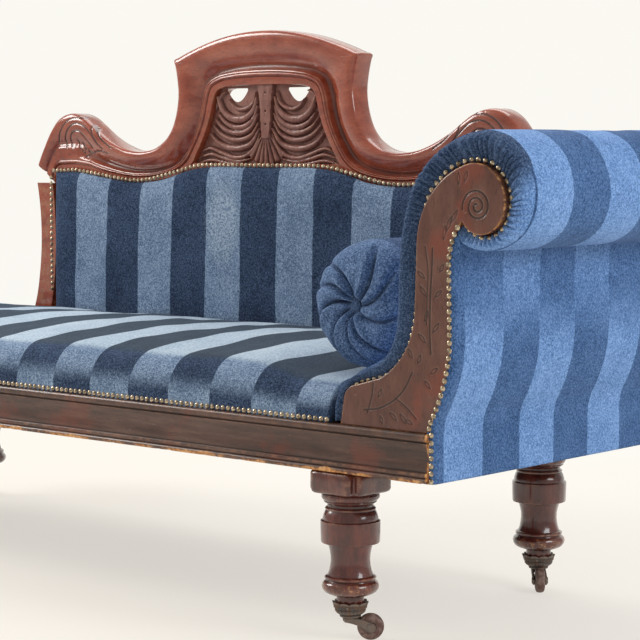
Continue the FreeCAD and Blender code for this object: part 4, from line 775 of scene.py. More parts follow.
def gridded(node_name, spacing, ways):
    """A flat CAD piece with its faces cut into a square grid, so that it can be carved or let sag."""
    low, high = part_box(node_name)
    work = bmesh.new()
    work.from_mesh(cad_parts[node_name].data)
    bmesh.ops.remove_doubles(work, verts=work.verts, dist=0.00002)
    bmesh.ops.dissolve_limit(work, angle_limit=0.02, verts=work.verts, edges=work.edges)
    for axis in ways:
        for cut in np.arange(low[axis] + spacing / 2, high[axis], spacing):
            plane, way = [0, 0, 0], [0, 0, 0]
            plane[axis], way[axis] = cut, 1
            everything = work.verts[:] + work.edges[:] + work.faces[:]
            bmesh.ops.bisect_plane(work, geom=everything, plane_co=plane, plane_no=way)
    return work


def facing_wear(wood):
    """Rubbed wood along the board's outline, stored as the nearness of each point to it."""
    near = wood.node("ShaderNodeAttribute", {}, out="Fac", attribute_name="edge_nearness")
    ragged = wood.noise(90.0, 5.0, 0.65)
    return near.above(0.74, 0.92) * ragged.above(0.42, 0.54)


facing_mahogany = mahogany_finish(
    "facing_mahogany",
    (0.082, 0.026, 0.015), (0.130, 0.048, 0.031), (0.175, 0.074, 0.050),
    gloss=0.30,
    wear=facing_wear,
    patches=0.6,
    along=(5.0, 5.0, 1.6),
    coat=0.3,
    cut=True,
)
rubbed_width, line_width, line_depth = 5.0, 2.1, 1.8
work = gridded("arm_facing", 0.0016, (0, 2))
edge_layer = work.verts.layers.float.new("edge_nearness")
cut_layer = work.verts.layers.float.new("cut_depth")
work.verts.ensure_lookup_table()
spots = np.array([vert.co[:] for vert in work.verts])
spots = (spots - np.array(rail_corner)) * 1000
front = spots[:, 1] < face_y + 0.1
rim = np.array([any(abs(face.normal.y) < 0.5 for face in vert.link_faces) for vert in work.verts])
rim_points = spots[front & rim][:, [0, 2]]
nearness = np.zeros(len(spots))
for chunk in np.array_split(np.where(front)[0], 40):
    square = ((spots[chunk][:, None, [0, 2]] - rim_points[None]) ** 2).sum(2)
    nearness[chunk] = np.clip(1 - np.sqrt(square.min(1)) / rubbed_width, 0, 1)
nearness[~front & rim] = np.clip(1 - (spots[~front & rim][:, 1] - face_y) / rubbed_width, 0, 1)
depth = carve_depth(spots[:, 0], spots[:, 2], incised, line_width)
shallow = waves(spots, 60, 11) * 0.25
rounded = np.clip(nearness - 0.6, 0, 1) ** 2 * 9
for index, vert in enumerate(work.verts):
    vert[edge_layer] = nearness[index]
    vert[cut_layer] = depth[index] if front[index] else 0.0
    if front[index]:
        push = line_depth * depth[index] + shallow[index] * (1 - nearness[index]) + rounded[index] + 0.25
        vert.co.y += push * 0.001
facing_mesh = bpy.data.meshes.new("arm_facing_board")
work.to_mesh(facing_mesh)
work.free()
put_in("arm_facing_board", facing_mesh, facing_mahogany, ["arm_facing"], sharp=35)

# The arm's covering: striped blue velvet over a stuffed roll, closed at the front by a border of the same
# velvet that is drawn round the scroll in small gathers. Both are tacked behind the nails.
stripe = 0.089


def velvet_finish(
    name,
    across,
    dark,
    light,
    first_edge=0.0,
    top_sheen_dark=None,
    top_sheen_light=None,
    flip=None,
    paler=None,
    crushed=None,
):
    """Striped cotton velvet. across is the axis the stripes are counted along, or None for a plain cover.
    flip says where a painted sheen swaps the stripes' light and dark, paler where a painted sheen makes the
    pile paler, and crushed where the pile is crushed."""
    pile = Finish(name)

    def shades(colours):
        return pile.ramp(grainy, (0.0, colours[0]), (0.45, colours[1]), (1.0, colours[2]))

    fine = pile.noise(440.0, 2.0, 0.7)
    speck = pile.noise(270.0, 3.0, 0.75)
    mottle = pile.noise(38.0, 5.0, 0.6)
    crush = pile.noise(9.0, 4.0, 0.55)
    grainy = (fine * 0.65 + speck * 0.60 + mottle * 0.13 + crush * 0.2 - 0.36).above(0.20, 0.66)
    tone = shades(dark)
    if across:
        place = pile.axis(across)
        place = place + (pile.noise(7.0, 2.0, 0.5) - 0.5) * 0.006
        lane = (place - first_edge) / (2 * stripe)
        lane = lane - lane.math("FLOOR")
        soft = 0.006
        mask = lane.above(0.5 - soft, 0.5 + soft) - lane.above(1 - 2 * soft, 1.0)
        if flip:
            # Where the mask says, the stripes are painted swapped and flatter: a painted sheen.
            sheen_swap_mask = flip(pile)
            past_first = (place - (first_edge + stripe)).above(-0.001, 0.001)
            mask = mask * (1 - sheen_swap_mask) + (0.62 - mask * 0.5) * sheen_swap_mask * past_first
        pale = shades(light)
        upward = pile.node("ShaderNodeNewGeometry", {}, out="Normal")
        facing_up = pile.node("ShaderNodeSeparateXYZ", [upward], out="Z")
        # Painted sheen: faces that look up take the top palettes, sloping faces the plain stripes, and
        # upright faces the stripes with light and dark swapped.
        if top_sheen_light:
            crown = facing_up.above(0.86, 0.995)
            brow = facing_up.above(0.10, 0.55)
            upright_sheen_swap = pile.mix(mask, pale, tone)
            flat = pile.mix(
                mask,
                pile.ramp(grainy, (0.0, top_sheen_dark[0]), (1.0, top_sheen_dark[1])),
                pile.ramp(grainy, (0.0, top_sheen_light[0]), (1.0, top_sheen_light[1])),
            )
            shoulder = pile.mix(mask, tone, pale)
            colour = pile.mix(brow, upright_sheen_swap, shoulder)
            colour = pile.mix(crown, colour, flat)
        else:
            colour = pile.mix(mask, tone, pale)
    elif paler:
        colour = pile.mix(paler(pile), tone, shades(light))
    else:
        colour = tone
    if crushed:
        colour = pile.mix(crushed(pile) * speck.above(0.40, 0.60) * 0.65, colour, (0.44, 0.52, 0.62))
    # Painted shade: creases and hollows are darkened towards the darkest pile.
    crease_shade = 1 - pile.node("ShaderNodeNewGeometry", {}, out="Pointiness").above(0.43, 0.495)
    colour = pile.mix(crease_shade * 0.6, colour, dark[0])
    height = fine * 0.5 + speck * 0.6 + mottle * 0.8
    return pile.set(
        Base_Color=colour,
        Roughness=0.86 + mottle * 0.08,
        Normal=pile.bump(height, 0.0007, 0.55),
        Sheen_Weight=0.10,
        Sheen_Roughness=0.45,
        Sheen_Tint=(0.62, 0.76, 1.0),
        Specular_IOR_Level=0.12,
    )


navy = ((0.008, 0.015, 0.034), (0.024, 0.043, 0.090), (0.085, 0.130, 0.225))
slate = ((0.060, 0.098, 0.165), (0.150, 0.225, 0.350), (0.370, 0.475, 0.620))
sky_blue = ((0.060, 0.135, 0.310), (0.150, 0.290, 0.590), (0.320, 0.500, 0.850))
royal = ((0.020, 0.050, 0.130), (0.056, 0.125, 0.290), (0.140, 0.250, 0.490))


def lit_underside(pile):
    """Painted sheen: under the scroll the border's pile catches the light, so it is painted paler there."""
    along = pile.axis("X") - (rail_corner.x + 0.080)
    up = pile.axis("Z") - 0.660
    return (along * 0.6 - up * 0.8).above(0.0, 0.05) * along.above(-0.06, -0.02)


gathered_navy = ((0.013, 0.026, 0.060), (0.040, 0.072, 0.150), (0.115, 0.180, 0.315))
border_velvet = velvet_finish("velvet_border", None, gathered_navy, sky_blue, paler=lit_underside)
border_pairs = [
    ((-163, 331), (-181, 331)), ((-157, 364), (-180, 358)), ((-142, 383), (-170, 381)),
    ((-122, 392), (-150, 399)), ((-99, 396), (-129, 410)), ((-83, 400), (-108, 420)),
    ((-66, 412), (-92, 430)), ((-53, 426), (-81, 444)), ((-42, 442), (-74, 461)),
    ((-32, 472), (-70, 483)), ((-27, 500), (-69, 506)), ((-25, 545), (-68, 546)),
    ((-23, 587), (-65, 594)), ((-16, 620), (-57, 633)), ((-1, 667), (-34, 689)),
    ((13, 680), (-16, 709)), ((28, 694), (6, 727)), ((48, 702), (32, 740)), ((69, 706), (62, 749)),
    ((86, 705), (90, 751)), ((102, 699), (121, 742)), ((114, 687), (145, 722)),
    ((122, 674), (159, 697)), ((126, 656), (165, 666)), ((123, 640), (160, 636)),
    ((115, 622), (144, 610)), ((101, 610), (116, 592)), ((82, 607), (84, 585)),
    ((66, 615), (58, 588)), ((53, 627), (38, 597)),
]
inner_keys = np.array([pair[0] for pair in border_pairs], float)
outer_keys = np.array([pair[1] for pair in border_pairs], float)


def paired_lines(inner, outer, count):
    """Two smooth lines whose points face each other, spaced evenly along the line between them."""
    middle = (inner + outer) / 2
    along = np.concatenate([[0.0], np.cumsum(np.linalg.norm(np.diff(middle, axis=0), axis=1))])
    places = np.linspace(0, along[-1], count)
    return smooth_values(inner, along, places), smooth_values(outer, along, places), places


border_count = 620
border_in, border_out, border_run = paired_lines(inner_keys, outer_keys, border_count)


def arm_border(front_y, back_y):
    """The stuffed border between the facing's edge and the silhouette, gathered round the scroll."""
    across = border_out - border_in
    gather = np.clip((border_run - 330) / 60, 0, 1) * np.clip((border_run[-1] - border_run) / 30, 0, 1)
    draw = np.random.default_rng(21)
    phase = np.interp(border_run, np.linspace(0, border_run[-1], 90), np.cumsum(draw.uniform(0.55, 1.45, 90)))
    rows = []
    for share in np.linspace(0, 1, 15):
        bulge = math.sin(min(1.0, share * 1.25) * math.pi / 2)
        forward = front_y + (9.0 - 12.0 * bulge)
        if share > 0.62:
            forward += 21 * ((share - 0.62) / 0.38) ** 2.4
        fold = gather * (1 - share) ** 0.5 * np.sin(phase * 2 * math.pi + 2.2 * share)
        fold = np.sign(fold) * np.abs(fold) ** 0.75
        pull = 0.006 * np.sin(border_run / 17)
        spot = border_in + across * (share * 0.985 + 0.008 * gather * fold + pull * share)[:, None]
        depth = np.full(border_count, forward) - 3.4 * fold * (0.35 + share * 0.9)
        rows.append(np.column_stack([spot[:, 0], depth, spot[:, 1]]))
    for outline, y in ((border_in + across * 0.90, back_y), (border_in, back_y), (border_in, front_y + 12.0)):
        rows.append(np.column_stack([outline[:, 0], np.full(border_count, y), outline[:, 1]]))
    faces = ring_faces(len(rows), border_count, close_rows=True, close_columns=False)
    starts = range(0, len(rows) * border_count, border_count)
    faces += [tuple(starts), tuple(start + border_count - 1 for start in starts)]
    return np.concatenate(rows), faces


border_low, border_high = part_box("arm_front_border")
border_front = (border_low.y - rail_corner.y) * 1000
border_back = (border_high.y - rail_corner.y) * 1000
border_points, border_faces = arm_border(border_front, border_back + 6)
front_border = new_piece(
    "arm_border_gathered", border_points, border_faces, border_velvet, ["arm_front_border"]
)


roll_velvet = velvet_finish("velvet_roll", "Y", royal, sky_blue, rail_corner.y - 0.0590)
pad_front = border_back - 14
pad_rear = (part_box("arm_pad")[1].y - rail_corner.y) * 1000 - 6
outline_count = len(border_out[::2])
rings = []
for step in np.linspace(0, 1, 90):
    y = pad_front + (pad_rear - pad_front) * step
    outline = border_out[::2].copy()
    middle = np.array([40.0, 560.0])
    away = outline - middle
    size = np.linalg.norm(away, axis=1)
    place = np.column_stack([outline[:, 0], np.full(len(outline), y), outline[:, 1]])
    ripple = waves(place, 150, 31) * 1.6 + waves(place, 60, 32) * 0.5
    end_round = -9 * max(0.0, 1 - (pad_rear - y) / 16) ** 2
    outline = outline + away / size[:, None] * (ripple + end_round)[:, None]
    ring = np.concatenate([outline, border_in[::2][::-1]])
    rings.append(np.column_stack([ring[:, 0], np.full(len(ring), y), ring[:, 1]]))
ring_size = len(rings[0])
pad_points = np.concatenate(rings)
pad_faces = ring_faces(len(rings), ring_size)
for end in (0, len(rings) - 1):
    start = end * ring_size
    for index in range(outline_count - 1):
        other = ring_size - 1 - index
        pad_faces.append((start + index, start + index + 1, start + other - 1, start + other))
arm_pad = new_piece("arm_roll_cover", pad_points, pad_faces, roll_velvet, ["arm_pad"])


def sheen_swap_near_roll(pile):
    """Painted sheen and shade: near the roll the stripes' light and dark are painted swapped, with less
    contrast.
    """
    return (pile.axis("Z") + pile.noise(5.0, 3.0, 0.5) * 0.06).above(0.46, 0.56)


side_velvet = velvet_finish(
    "velvet_arm_side", "Y", royal, sky_blue, rail_corner.y - 0.0590, flip=sheen_swap_near_roll
)
def closed_slab(front_skin, rear_skin, rows, columns):
    """Two matching grids of points joined round their edges into a closed form."""
    faces = ring_faces(rows, columns, close_columns=False)
    shift = rows * columns
    faces = faces + [tuple(index + shift for index in face[::-1]) for face in faces]
    rim = list(range(columns))
    rim += [row * columns + columns - 1 for row in range(1, rows)]
    rim += [(rows - 1) * columns + column for column in range(columns - 2, -1, -1)]
    rim += [row * columns for row in range(rows - 2, 0, -1)]
    for here, there in zip(rim, rim[1:] + rim[:1]):
        faces.append((here, there, there + shift, here + shift))
    return np.concatenate([front_skin, rear_skin]), faces


panel_low, panel_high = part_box("arm_outer_panel")
panel_front = (panel_low.y - rail_corner.y) * 1000 + 1.5
panel_back = (panel_high.y - rail_corner.y) * 1000
panel_thickness = 7.5
panel_columns, panel_rows = 100, 110
panel_keys = [
    (8, 256), (8, 300), (8, 329), (12, 348), (24, 372), (34, 398), (41, 424), (44, 452), (44, 500),
    (43, 545), (45, 575), (49, 592), (52, 606),
]
panel_line = smooth_line(panel_keys, np.linspace(0, 1, panel_rows))
rows = []
for step in np.linspace(0, 1, panel_columns):
    y = panel_front + (panel_back - panel_front) * step
    place = np.column_stack([panel_line[:, 0], np.full(panel_rows, y), panel_line[:, 1]])
    puff = 2.0 * math.sin(math.pi * step) ** 0.5 + waves(place, 120, 41) * 0.7
    tuck = 5 * max(0.0, 1 - (y - panel_front) / 5.0) ** 2
    rows.append(place + np.column_stack([puff - tuck, np.zeros(panel_rows), np.zeros(panel_rows)]))
outer_skin = np.concatenate(rows)
points, faces = closed_slab(outer_skin, outer_skin - (panel_thickness, 0, 0), panel_columns, panel_rows)
side_panel = new_piece("arm_side_cover", points, faces, side_velvet, ["arm_outer_panel"])

# The back's frame: beech stiles and rails with webbing across, hidden by the pad and the outer cloth.
refinish(frame_beech, "back_stile_head", "back_tack_rail", "back_lower_rail", "back_uprights")

# The show-wood crest: solid mahogany in three lengths, worked with a broad rounded face, a deep hollow,
# a double bead and a flat fillet that follows the nails and the arch. The shoulders end in incised leaves.
crest_low, crest_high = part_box("back_crest")
crest_centre = ((crest_low.x + crest_high.x) / 2 - rail_corner.x) * 1000
crest_front = (crest_low.y - rail_corner.y) * 1000
crest_rear = (crest_high.y - rail_corner.y) * 1000
crest_polish = mahogany_finish(
    "crest_mahogany",
    (0.190, 0.026, 0.009), (0.315, 0.060, 0.026), (0.420, 0.105, 0.052),
    gloss=0.20,
    patches=0.12,
    along=(2.0, 2.0, 5.0),
    scars=0.06,
    coat=0.85,
    cut=True,
)
rib_pairs = [
    ((0, 936.5), (0, 838)), ((60, 933.4), (42, 837.8)), ((120, 923.2), (78, 836.6)),
    ((180, 906.0), (104, 833.5)), ((216, 892.9), (119, 826.5)), ((228, 888), (124, 819)),
    ((225, 879), (127, 812)), ((219, 852), (130, 801)), ((216.3, 826), (134, 787)),
    ((218, 806), (139, 773)), ((223, 784), (146, 756)), ((233, 760), (156, 737)),
    ((247, 742), (168, 717)), ((263, 730.5), (184, 693)), ((279, 722.5), (208, 676.5)),
    ((300, 717.5), (255, 663.5)), ((327, 715.5), (310, 658.2)), ((363, 720.5), (356, 658.8)),
    ((397, 732.5), (393, 662.0)), ((430, 749.5), (430, 666.5)), ((460, 769.5), (463, 671.5)),
    ((485, 784), (490, 674.8)), ((505, 789.2), (505, 675.8)), ((522, 790), (520, 675.6)),
    ((540, 785.5), (534, 675.2)), ((556, 776), (546, 674.8)), ((574, 756), (556, 673.6)),
    ((592, 728), (563, 668.0)), ((607, 702), (566, 661.0)), ((613, 690), (567, 652.0)),
]
half_outer = np.array([pair[0] for pair in rib_pairs], float)
half_inner = np.array([pair[1] for pair in rib_pairs], float)
mirror = np.array([-1.0, 1.0])
rib_outer = np.concatenate([(half_outer * mirror)[:0:-1], half_outer])
rib_inner = np.concatenate([(half_inner * mirror)[:0:-1], half_inner])
rib_count = 1301
inner_line, outer_line = paired_lines(rib_inner, rib_outer, rib_count)[:2]
# Across the section: the distance from the fillet's edge and the depth behind the front. The broad face
# takes up the rest of the width, so for it the first number is the share of that.
moulded = [
    (0.0, 9.0), (1.0, 7.6), (2.6, 7.2), (13.5, 7.2), (14.6, 8.6), (15.8, 7.0), (17.6, 4.9),
    (19.6, 4.3), (21.6, 5.0), (22.8, 6.6), (24.4, 5.4), (26.0, 6.0), (27.6, 9.4), (29.4, 14.4),
    (31.8, 18.2), (34.8, 19.6), (38.4, 18.6), (42.6, 15.4), (47.4, 11.2),
]
face_shares = [
    (0.12, 7.6), (0.28, 4.0), (0.45, 1.6), (0.62, 0.3), (0.76, 0.2), (0.87, 1.2), (0.94, 3.4),
    (0.985, 7.2), (1.0, 12.0),
]
fine_shares = np.concatenate([np.linspace(0.03, 0.94, 32), [0.965, 0.985, 0.995, 1.0]])
fillet_full = 98.5
leaf_width, leaf_depth = 2.4, 1.7
leaf_lines = []
for way in (-1, 1):
    for points in (
        [(352, 722), (392, 735), (424, 750), (452, 770), (470, 779)]
        + [(492, 781), (515, 778), (533, 768), (546, 752), (553, 734)],
        [(398, 722), (424, 738), (446, 760), (455, 768)],
        [(455, 768), (452, 752), (440, 734), (424, 720)],
        [(436, 728), (454, 748), (476, 765), (497, 770), (516, 764), (529, 750), (534, 734), (529, 722)],
        [(458, 722), (474, 742), (492, 755), (507, 754), (517, 744), (519, 732), (512, 724), (503, 727)],
        [(410, 712), (436, 716), (462, 712), (478, 704)],
        [(446, 706), (470, 716), (486, 732)],
        [(480, 712), (492, 724), (500, 738)],
    ):
        line = smooth_line([(way * x, z) for x, z in points], np.linspace(0, 1, 40))
        leaf_lines.append((line, 1.0))


def crest_section(index):
    """The front of the wood at one rib, from the fillet's edge to the outer edge, and on round the back."""
    inner, outer = inner_line[index], outer_line[index]
    width = np.linalg.norm(outer - inner)
    way = (outer - inner) / width
    scale = min(1.0, width / fillet_full)
    groove = 1 - np.clip((abs(inner[0]) - 425) / 75, 0, 1) ** 1.3
    distances, depths = [], []
    for distance, depth in moulded:
        if distance > 23.5:
            depth = 5.6 + (depth - 5.6) * groove
        distances.append(distance * scale)
        depths.append(depth)
    start = distances[-1]
    face_keys = [(share, depth + (1 - groove) * 2.5 * (1 - share)) for share, depth in face_shares]
    keys = np.array([(0.0, depths[-1])] + face_keys)
    distances += list(start + (width - start) * fine_shares)
    depths += list(smooth_values(keys[:, 1:], keys[:, 0], fine_shares)[:, 0])
    points = [(*(inner + way * distance), crest_front + depth) for distance, depth in zip(distances, depths)]
    points.append((*outer, crest_front + 22))
    points.append((*outer, crest_rear - 5))
    points.append((*(outer - way * 1.6), crest_rear - 1.2))
    points.append((*(outer - way * 4.5), crest_rear))
    low = np.array([inner[0], 650.5]) if abs(inner[0]) > 188 else inner
    points.append((*low, crest_rear))
    points.append((*low, crest_front + 9.5))
    return points


def crest_length(first, last):
    rings = np.array([crest_section(index) for index in range(first, last + 1)])
    count = rings.shape[1]
    flat = rings.reshape(-1, 3)
    carved = carve_depth(flat[:, 0], flat[:, 1], leaf_lines, leaf_width)
    front = flat[:, 2] < crest_front + 11
    flat[:, 2] += np.where(front, leaf_depth * carved, 0)
    flat = np.column_stack([flat[:, 0] + crest_centre, flat[:, 2], flat[:, 1]])
    faces = ring_faces(last - first + 1, count)
    faces += [tuple(range(count)), tuple(range(len(flat) - count, len(flat)))]
    return flat, faces


joint_left = int(np.argmin(np.abs(outer_line[:, 0] + 327)))
joint_right = int(np.argmin(np.abs(outer_line[:, 0] - 327)))
for name, first, last, node in (
    ("crest_arch", joint_left, joint_right, "back_crest"),
    ("shoulder_foot_carved", 0, joint_left, "back_shoulder_foot"),
    ("shoulder_head_carved", joint_right, rib_count - 1, "back_shoulder_head"),
):
    points, faces = crest_length(first, last)
    if name == "crest_arch":
        rail = [
            (x, y, z)
            for x in (crest_centre - 192, crest_centre + 192)
            for y, z in ((560, 650.5), (560, 694.5), (597.6, 694.5), (597.6, 650.5))
        ]
        rail_faces = ring_faces(2, 4) + [(0, 1, 2, 3), (4, 5, 6, 7)]
        points, faces = joined([(points, faces), (rail, rail_faces)])
    crest_wood = new_piece(name, points, faces, crest_polish, [node], sharp=38)
    spots = np.empty(len(crest_wood.data.vertices) * 3)
    crest_wood.data.vertices.foreach_get("co", spots)
    spots = (spots.reshape(-1, 3) - np.array(rail_corner)) * 1000
    cuts = carve_depth(spots[:, 0] - crest_centre, spots[:, 2], leaf_lines, leaf_width)
    cuts = np.where(spots[:, 1] < crest_front + 14, cuts, 0).astype(np.float32)
    crest_wood.data.attributes.new("cut_depth", "FLOAT", "POINT").data.foreach_set("value", cuts)

# The fret panel: a thinner mahogany panel set back in the arch, carved with swags that fall from a centre
# post and pierced with two openings beside it.
fret_back = (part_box("back_fret_panel")[1].y - rail_corner.y) * 1000
grid_step = 1.5
grid_x = np.arange(-192, 192 + grid_step, grid_step)
grid_z = np.arange(687.0, 843.0, grid_step)
mesh_x, mesh_z = np.meshgrid(grid_x, grid_z)
panel_x, panel_z = mesh_x.ravel(), mesh_z.ravel()
relief = np.zeros(len(panel_x))
swags = [
    ([(23, 815), (29, 797), (45, 781), (67, 775), (91, 779), (110, 793), (122, 818)], 7.0, 9.5),
    ([(27, 824), (33, 806), (49, 796), (67, 794), (82, 800), (93, 812)], 4.0, 7.5),
    ([(21, 800), (32, 777), (54, 763), (79, 761), (103, 770), (120, 786)], 5.5, 8.0),
    ([(20, 786), (35, 763), (60, 751), (88, 752), (112, 762), (127, 776)], 5.0, 8.5),
    ([(18, 771), (36, 748), (64, 738), (94, 740), (118, 751), (133, 764)], 5.0, 7.5),
    ([(16, 758), (38, 731), (70, 722), (102, 725), (126, 736), (139, 748)], 6.0, 9.0),
    ([(15, 750), (27, 727), (50, 709), (80, 705), (114, 714), (144, 722), (164, 716)], 4.5, 8.0),
    ([(36, 704), (70, 698), (106, 703), (140, 711), (172, 704)], 4.0, 7.0),
    ([(58, 694), (98, 694), (140, 700), (182, 692)], 3.6, 6.0),
    ([(98, 828), (112, 822), (124, 806), (128, 792)], 3.4, 6.0),
]
for side in (-1, 1):
    for line, half_width, height in swags:
        line = smooth_line([(side * x, z) for x, z in line], np.linspace(0, 1, 160))
        taper = np.sin(np.linspace(0.12, math.pi - 0.12, 160)) ** 0.55
        square = (panel_x[:, None] - line[None, :, 0]) ** 2 + (panel_z[:, None] - line[None, :, 1]) ** 2
        nearest = square.argmin(1)
        share = np.sqrt(square[np.arange(len(panel_x)), nearest]) / (half_width * taper[nearest])
        swell = np.sqrt(np.clip(1 - share**2, 0, 1)) * 0.55 + np.where(share < 1, 0.45, 0)
        relief = np.maximum(relief, height * swell)
for lean in (-3, -2, -1, 0, 1, 2, 3):
    head_x, head_z = 1.5 * lean, 752
    run_x, run_z = 12.5 * lean - head_x, 696 + 1.5 * lean * lean - head_z
    t = ((panel_x - head_x) * run_x + (panel_z - head_z) * run_z) / (run_x**2 + run_z**2)
    t = np.clip(t, 0, 1)
    share = np.hypot(panel_x - head_x - t * run_x, panel_z - head_z - t * run_z) / (1.2 + 4.2 * t)
    swell = np.sqrt(np.clip(1 - share**2, 0, 1)) * 0.6 + np.where(share < 1, 0.4, 0)
    relief = np.maximum(relief, (8.5 - 0.5 * abs(lean)) * swell)
post_half = 12 + 7 * np.clip((panel_z - 770) / 68, 0, 1) ** 1.5 - 4 * np.clip((765 - panel_z) / 30, 0, 1)
post = 9.6 - 0.9 * (np.abs(panel_x) / post_half) ** 4
post = np.where((np.abs(panel_x) < post_half) & (panel_z > 740), post, 0)
relief = np.maximum(relief, post)
for level in (824, 790, 766):
    relief -= 4.5 * np.clip(1.5 - np.hypot(panel_x - 0.5, panel_z - level) / 1.6, 0, 1)
relief += 0.35 * waves(np.column_stack([panel_x, np.zeros(len(panel_x)), panel_z]), 9, 51)


def in_hole(x, z):
    """Negative inside the pierced opening, growing away from it."""
    ax = np.abs(x)
    top = z - 832.5
    inner = (47 + 1.0 * np.clip(832 - z, 0, 40) ** 0.75) - ax
    lower = 0.032 * (ax - 76) ** 2 + 807.5 - z
    outer = ax - 109.5
    return np.maximum(np.maximum(top, inner), np.maximum(lower, outer))


distance = in_hole(panel_x, panel_z)
points = np.column_stack([panel_x, panel_z])
step = 0.05
slope_x = (in_hole(panel_x + step, panel_z) - distance) / step
slope_z = (in_hole(panel_x, panel_z + step) - distance) / step
slope = np.maximum(slope_x**2 + slope_z**2, 0.2)
close = (distance < 0) & (distance > -2.4)
points[close, 0] -= (distance * slope_x / slope)[close]
points[close, 1] -= (distance * slope_z / slope)[close]
columns = len(grid_x)
arch_heights = np.interp(np.abs(panel_x), half_inner[:14, 0], half_inner[:14, 1])
kept = (panel_z < arch_heights + 5) & (distance > -2.4)
top_faces = []
for face in ring_faces(len(grid_z), columns, close_columns=False):
    if all(kept[index] for index in face) and any(distance[index] > 0 for index in face):
        top_faces.append(face)
front_y = fret_back - 1.0 - np.clip(relief, 0.4, 11)
front_skin = np.column_stack([points[:, 0] + crest_centre, front_y, points[:, 1]])
rear_skin = np.column_stack([points[:, 0] + crest_centre, np.full(len(points), fret_back), points[:, 1]])
edge_use = {}
for face in top_faces:
    for here, there in zip(face, face[1:] + face[:1]):
        edge_use.setdefault((min(here, there), max(here, there)), []).append((here, there))
total = len(points)
fret_faces = list(top_faces) + [tuple(index + total for index in face[::-1]) for face in top_faces]
for uses in edge_use.values():
    if len(uses) == 1:
        here, there = uses[0]
        fret_faces.append((there, here, here + total, there + total))
used = sorted({index for face in fret_faces for index in face})
renumber = {index: number for number, index in enumerate(used)}
fret_points = np.concatenate([front_skin, rear_skin])[used]
fret_faces = [tuple(renumber[index] for index in face) for face in fret_faces]
fret_mahogany = mahogany_finish(
    "fret_mahogany",
    (0.150, 0.050, 0.037), (0.245, 0.098, 0.075), (0.325, 0.152, 0.120),
    gloss=0.34,
    patches=0.2,
    along=(6.0, 6.0, 2.0),
    scars=0.1,
    coat=0.2,
)
new_piece(
    "fret_carving", fret_points, fret_faces, fret_mahogany, ["back_fret_panel"], sharp=60
)

# The foot-end stile is sawn to a long curve and polished where it shows.
refinish(crest_polish, "back_stile_foot")

# The back pad: stuffed and covered in one striped piece from the arm to the foot stile, drawn tight under
# the nails so that its edge puckers, and a little full in the middle.


def sat_in(pile):
    """A patch of crushed pile where a shoulder has leant."""
    along = (pile.axis("X") - (rail_corner.x - 0.905)) * 1.3
    up = (pile.axis("Z") - 0.585) * 0.75
    return 1 - (along * along + up * up).above(0.0006, 0.0048)


back_velvet = velvet_finish("velvet_back", "X", navy, slate, rail_corner.x - 1.2142, crushed=sat_in)
back_low, back_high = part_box("back_pad")
back_left = (back_low.x - rail_corner.x) * 1000 - crest_centre
back_right = (back_high.x - rail_corner.x) * 1000 - crest_centre
back_bottom = (back_low.z - rail_corner.z) * 1000
back_rear = (back_high.y - rail_corner.y) * 1000
nail_x = [0, 120, 160, 203, 247, 300, 335, 362, 424, 481, 500, 520, 567, 700, 900]
nail_z = [688.5, 688.5, 685.5, 677, 665, 658, 657.5, 659, 666, 674, 675.5, 675.5, 674, 660, 640]
back_columns = 300
back_rows = 74
across = np.linspace(back_left, back_right, back_columns)
tops = smooth_values(np.array(nail_z, float)[:, None], np.array(nail_x, float), np.abs(across))[:, 0] - 1.0
tops = np.where(across > 540, np.minimum(tops, 640 + 34 * np.clip((600 - across) / 60, 0, 1)), tops)
climb = np.linspace(0, 1, back_rows)
pad_x = np.repeat(across[None], back_rows, 0)
pad_z = back_bottom + (tops - back_bottom)[None] * climb[:, None]
edge_in = np.clip((pad_x - back_left) / 42, 0, 1)
right_in = np.clip((back_right - pad_x) / 30, 0, 1)
from_top = (tops[None] - pad_z)
fullness = np.sqrt(np.clip(1 - (1 - np.clip(from_top / 46, 0, 1)) ** 2, 0, 1))
slope_down = (1 - climb[:, None]) * 8.5
full_middle = 3.0 * np.sin(np.pi * climb)[:, None]
side_pull = np.sqrt(edge_in * (2 - edge_in)) * (0.55 + 0.45 * right_in)
pad_y = back_rear - 3 - (9.5 * fullness + slope_down + full_middle) * side_pull
pucker = np.exp(-from_top / 9) * 0.8 * np.cos(pad_x * 2 * math.pi / 11.0)
flat_points = np.column_stack([pad_x.ravel(), pad_y.ravel(), pad_z.ravel()])
hollows = waves(flat_points, 170, 61) * 1.3 + waves(flat_points, 50, 62) * 0.35
pad_y = pad_y + pucker - hollows.reshape(pad_y.shape) * edge_in
front_skin = np.column_stack([pad_x.ravel() + crest_centre, pad_y.ravel(), pad_z.ravel()])
rear_skin = front_skin.copy()
rear_skin[:, 1] = back_rear
points, faces = closed_slab(front_skin, rear_skin, back_rows, back_columns)
back_cover = new_piece("back_pad_cover", points, faces, back_velvet, ["back_pad"])

# The outer back: plain dark velvet drawn over the frame behind and tacked round its edges, and a dust cloth
# of dark linen tacked under the seat, which has sagged a little.
dust_linen = woven_finish("dust_linen", (0.035, 0.036, 0.045), (0.085, 0.088, 0.105), 700.0, 0.88)


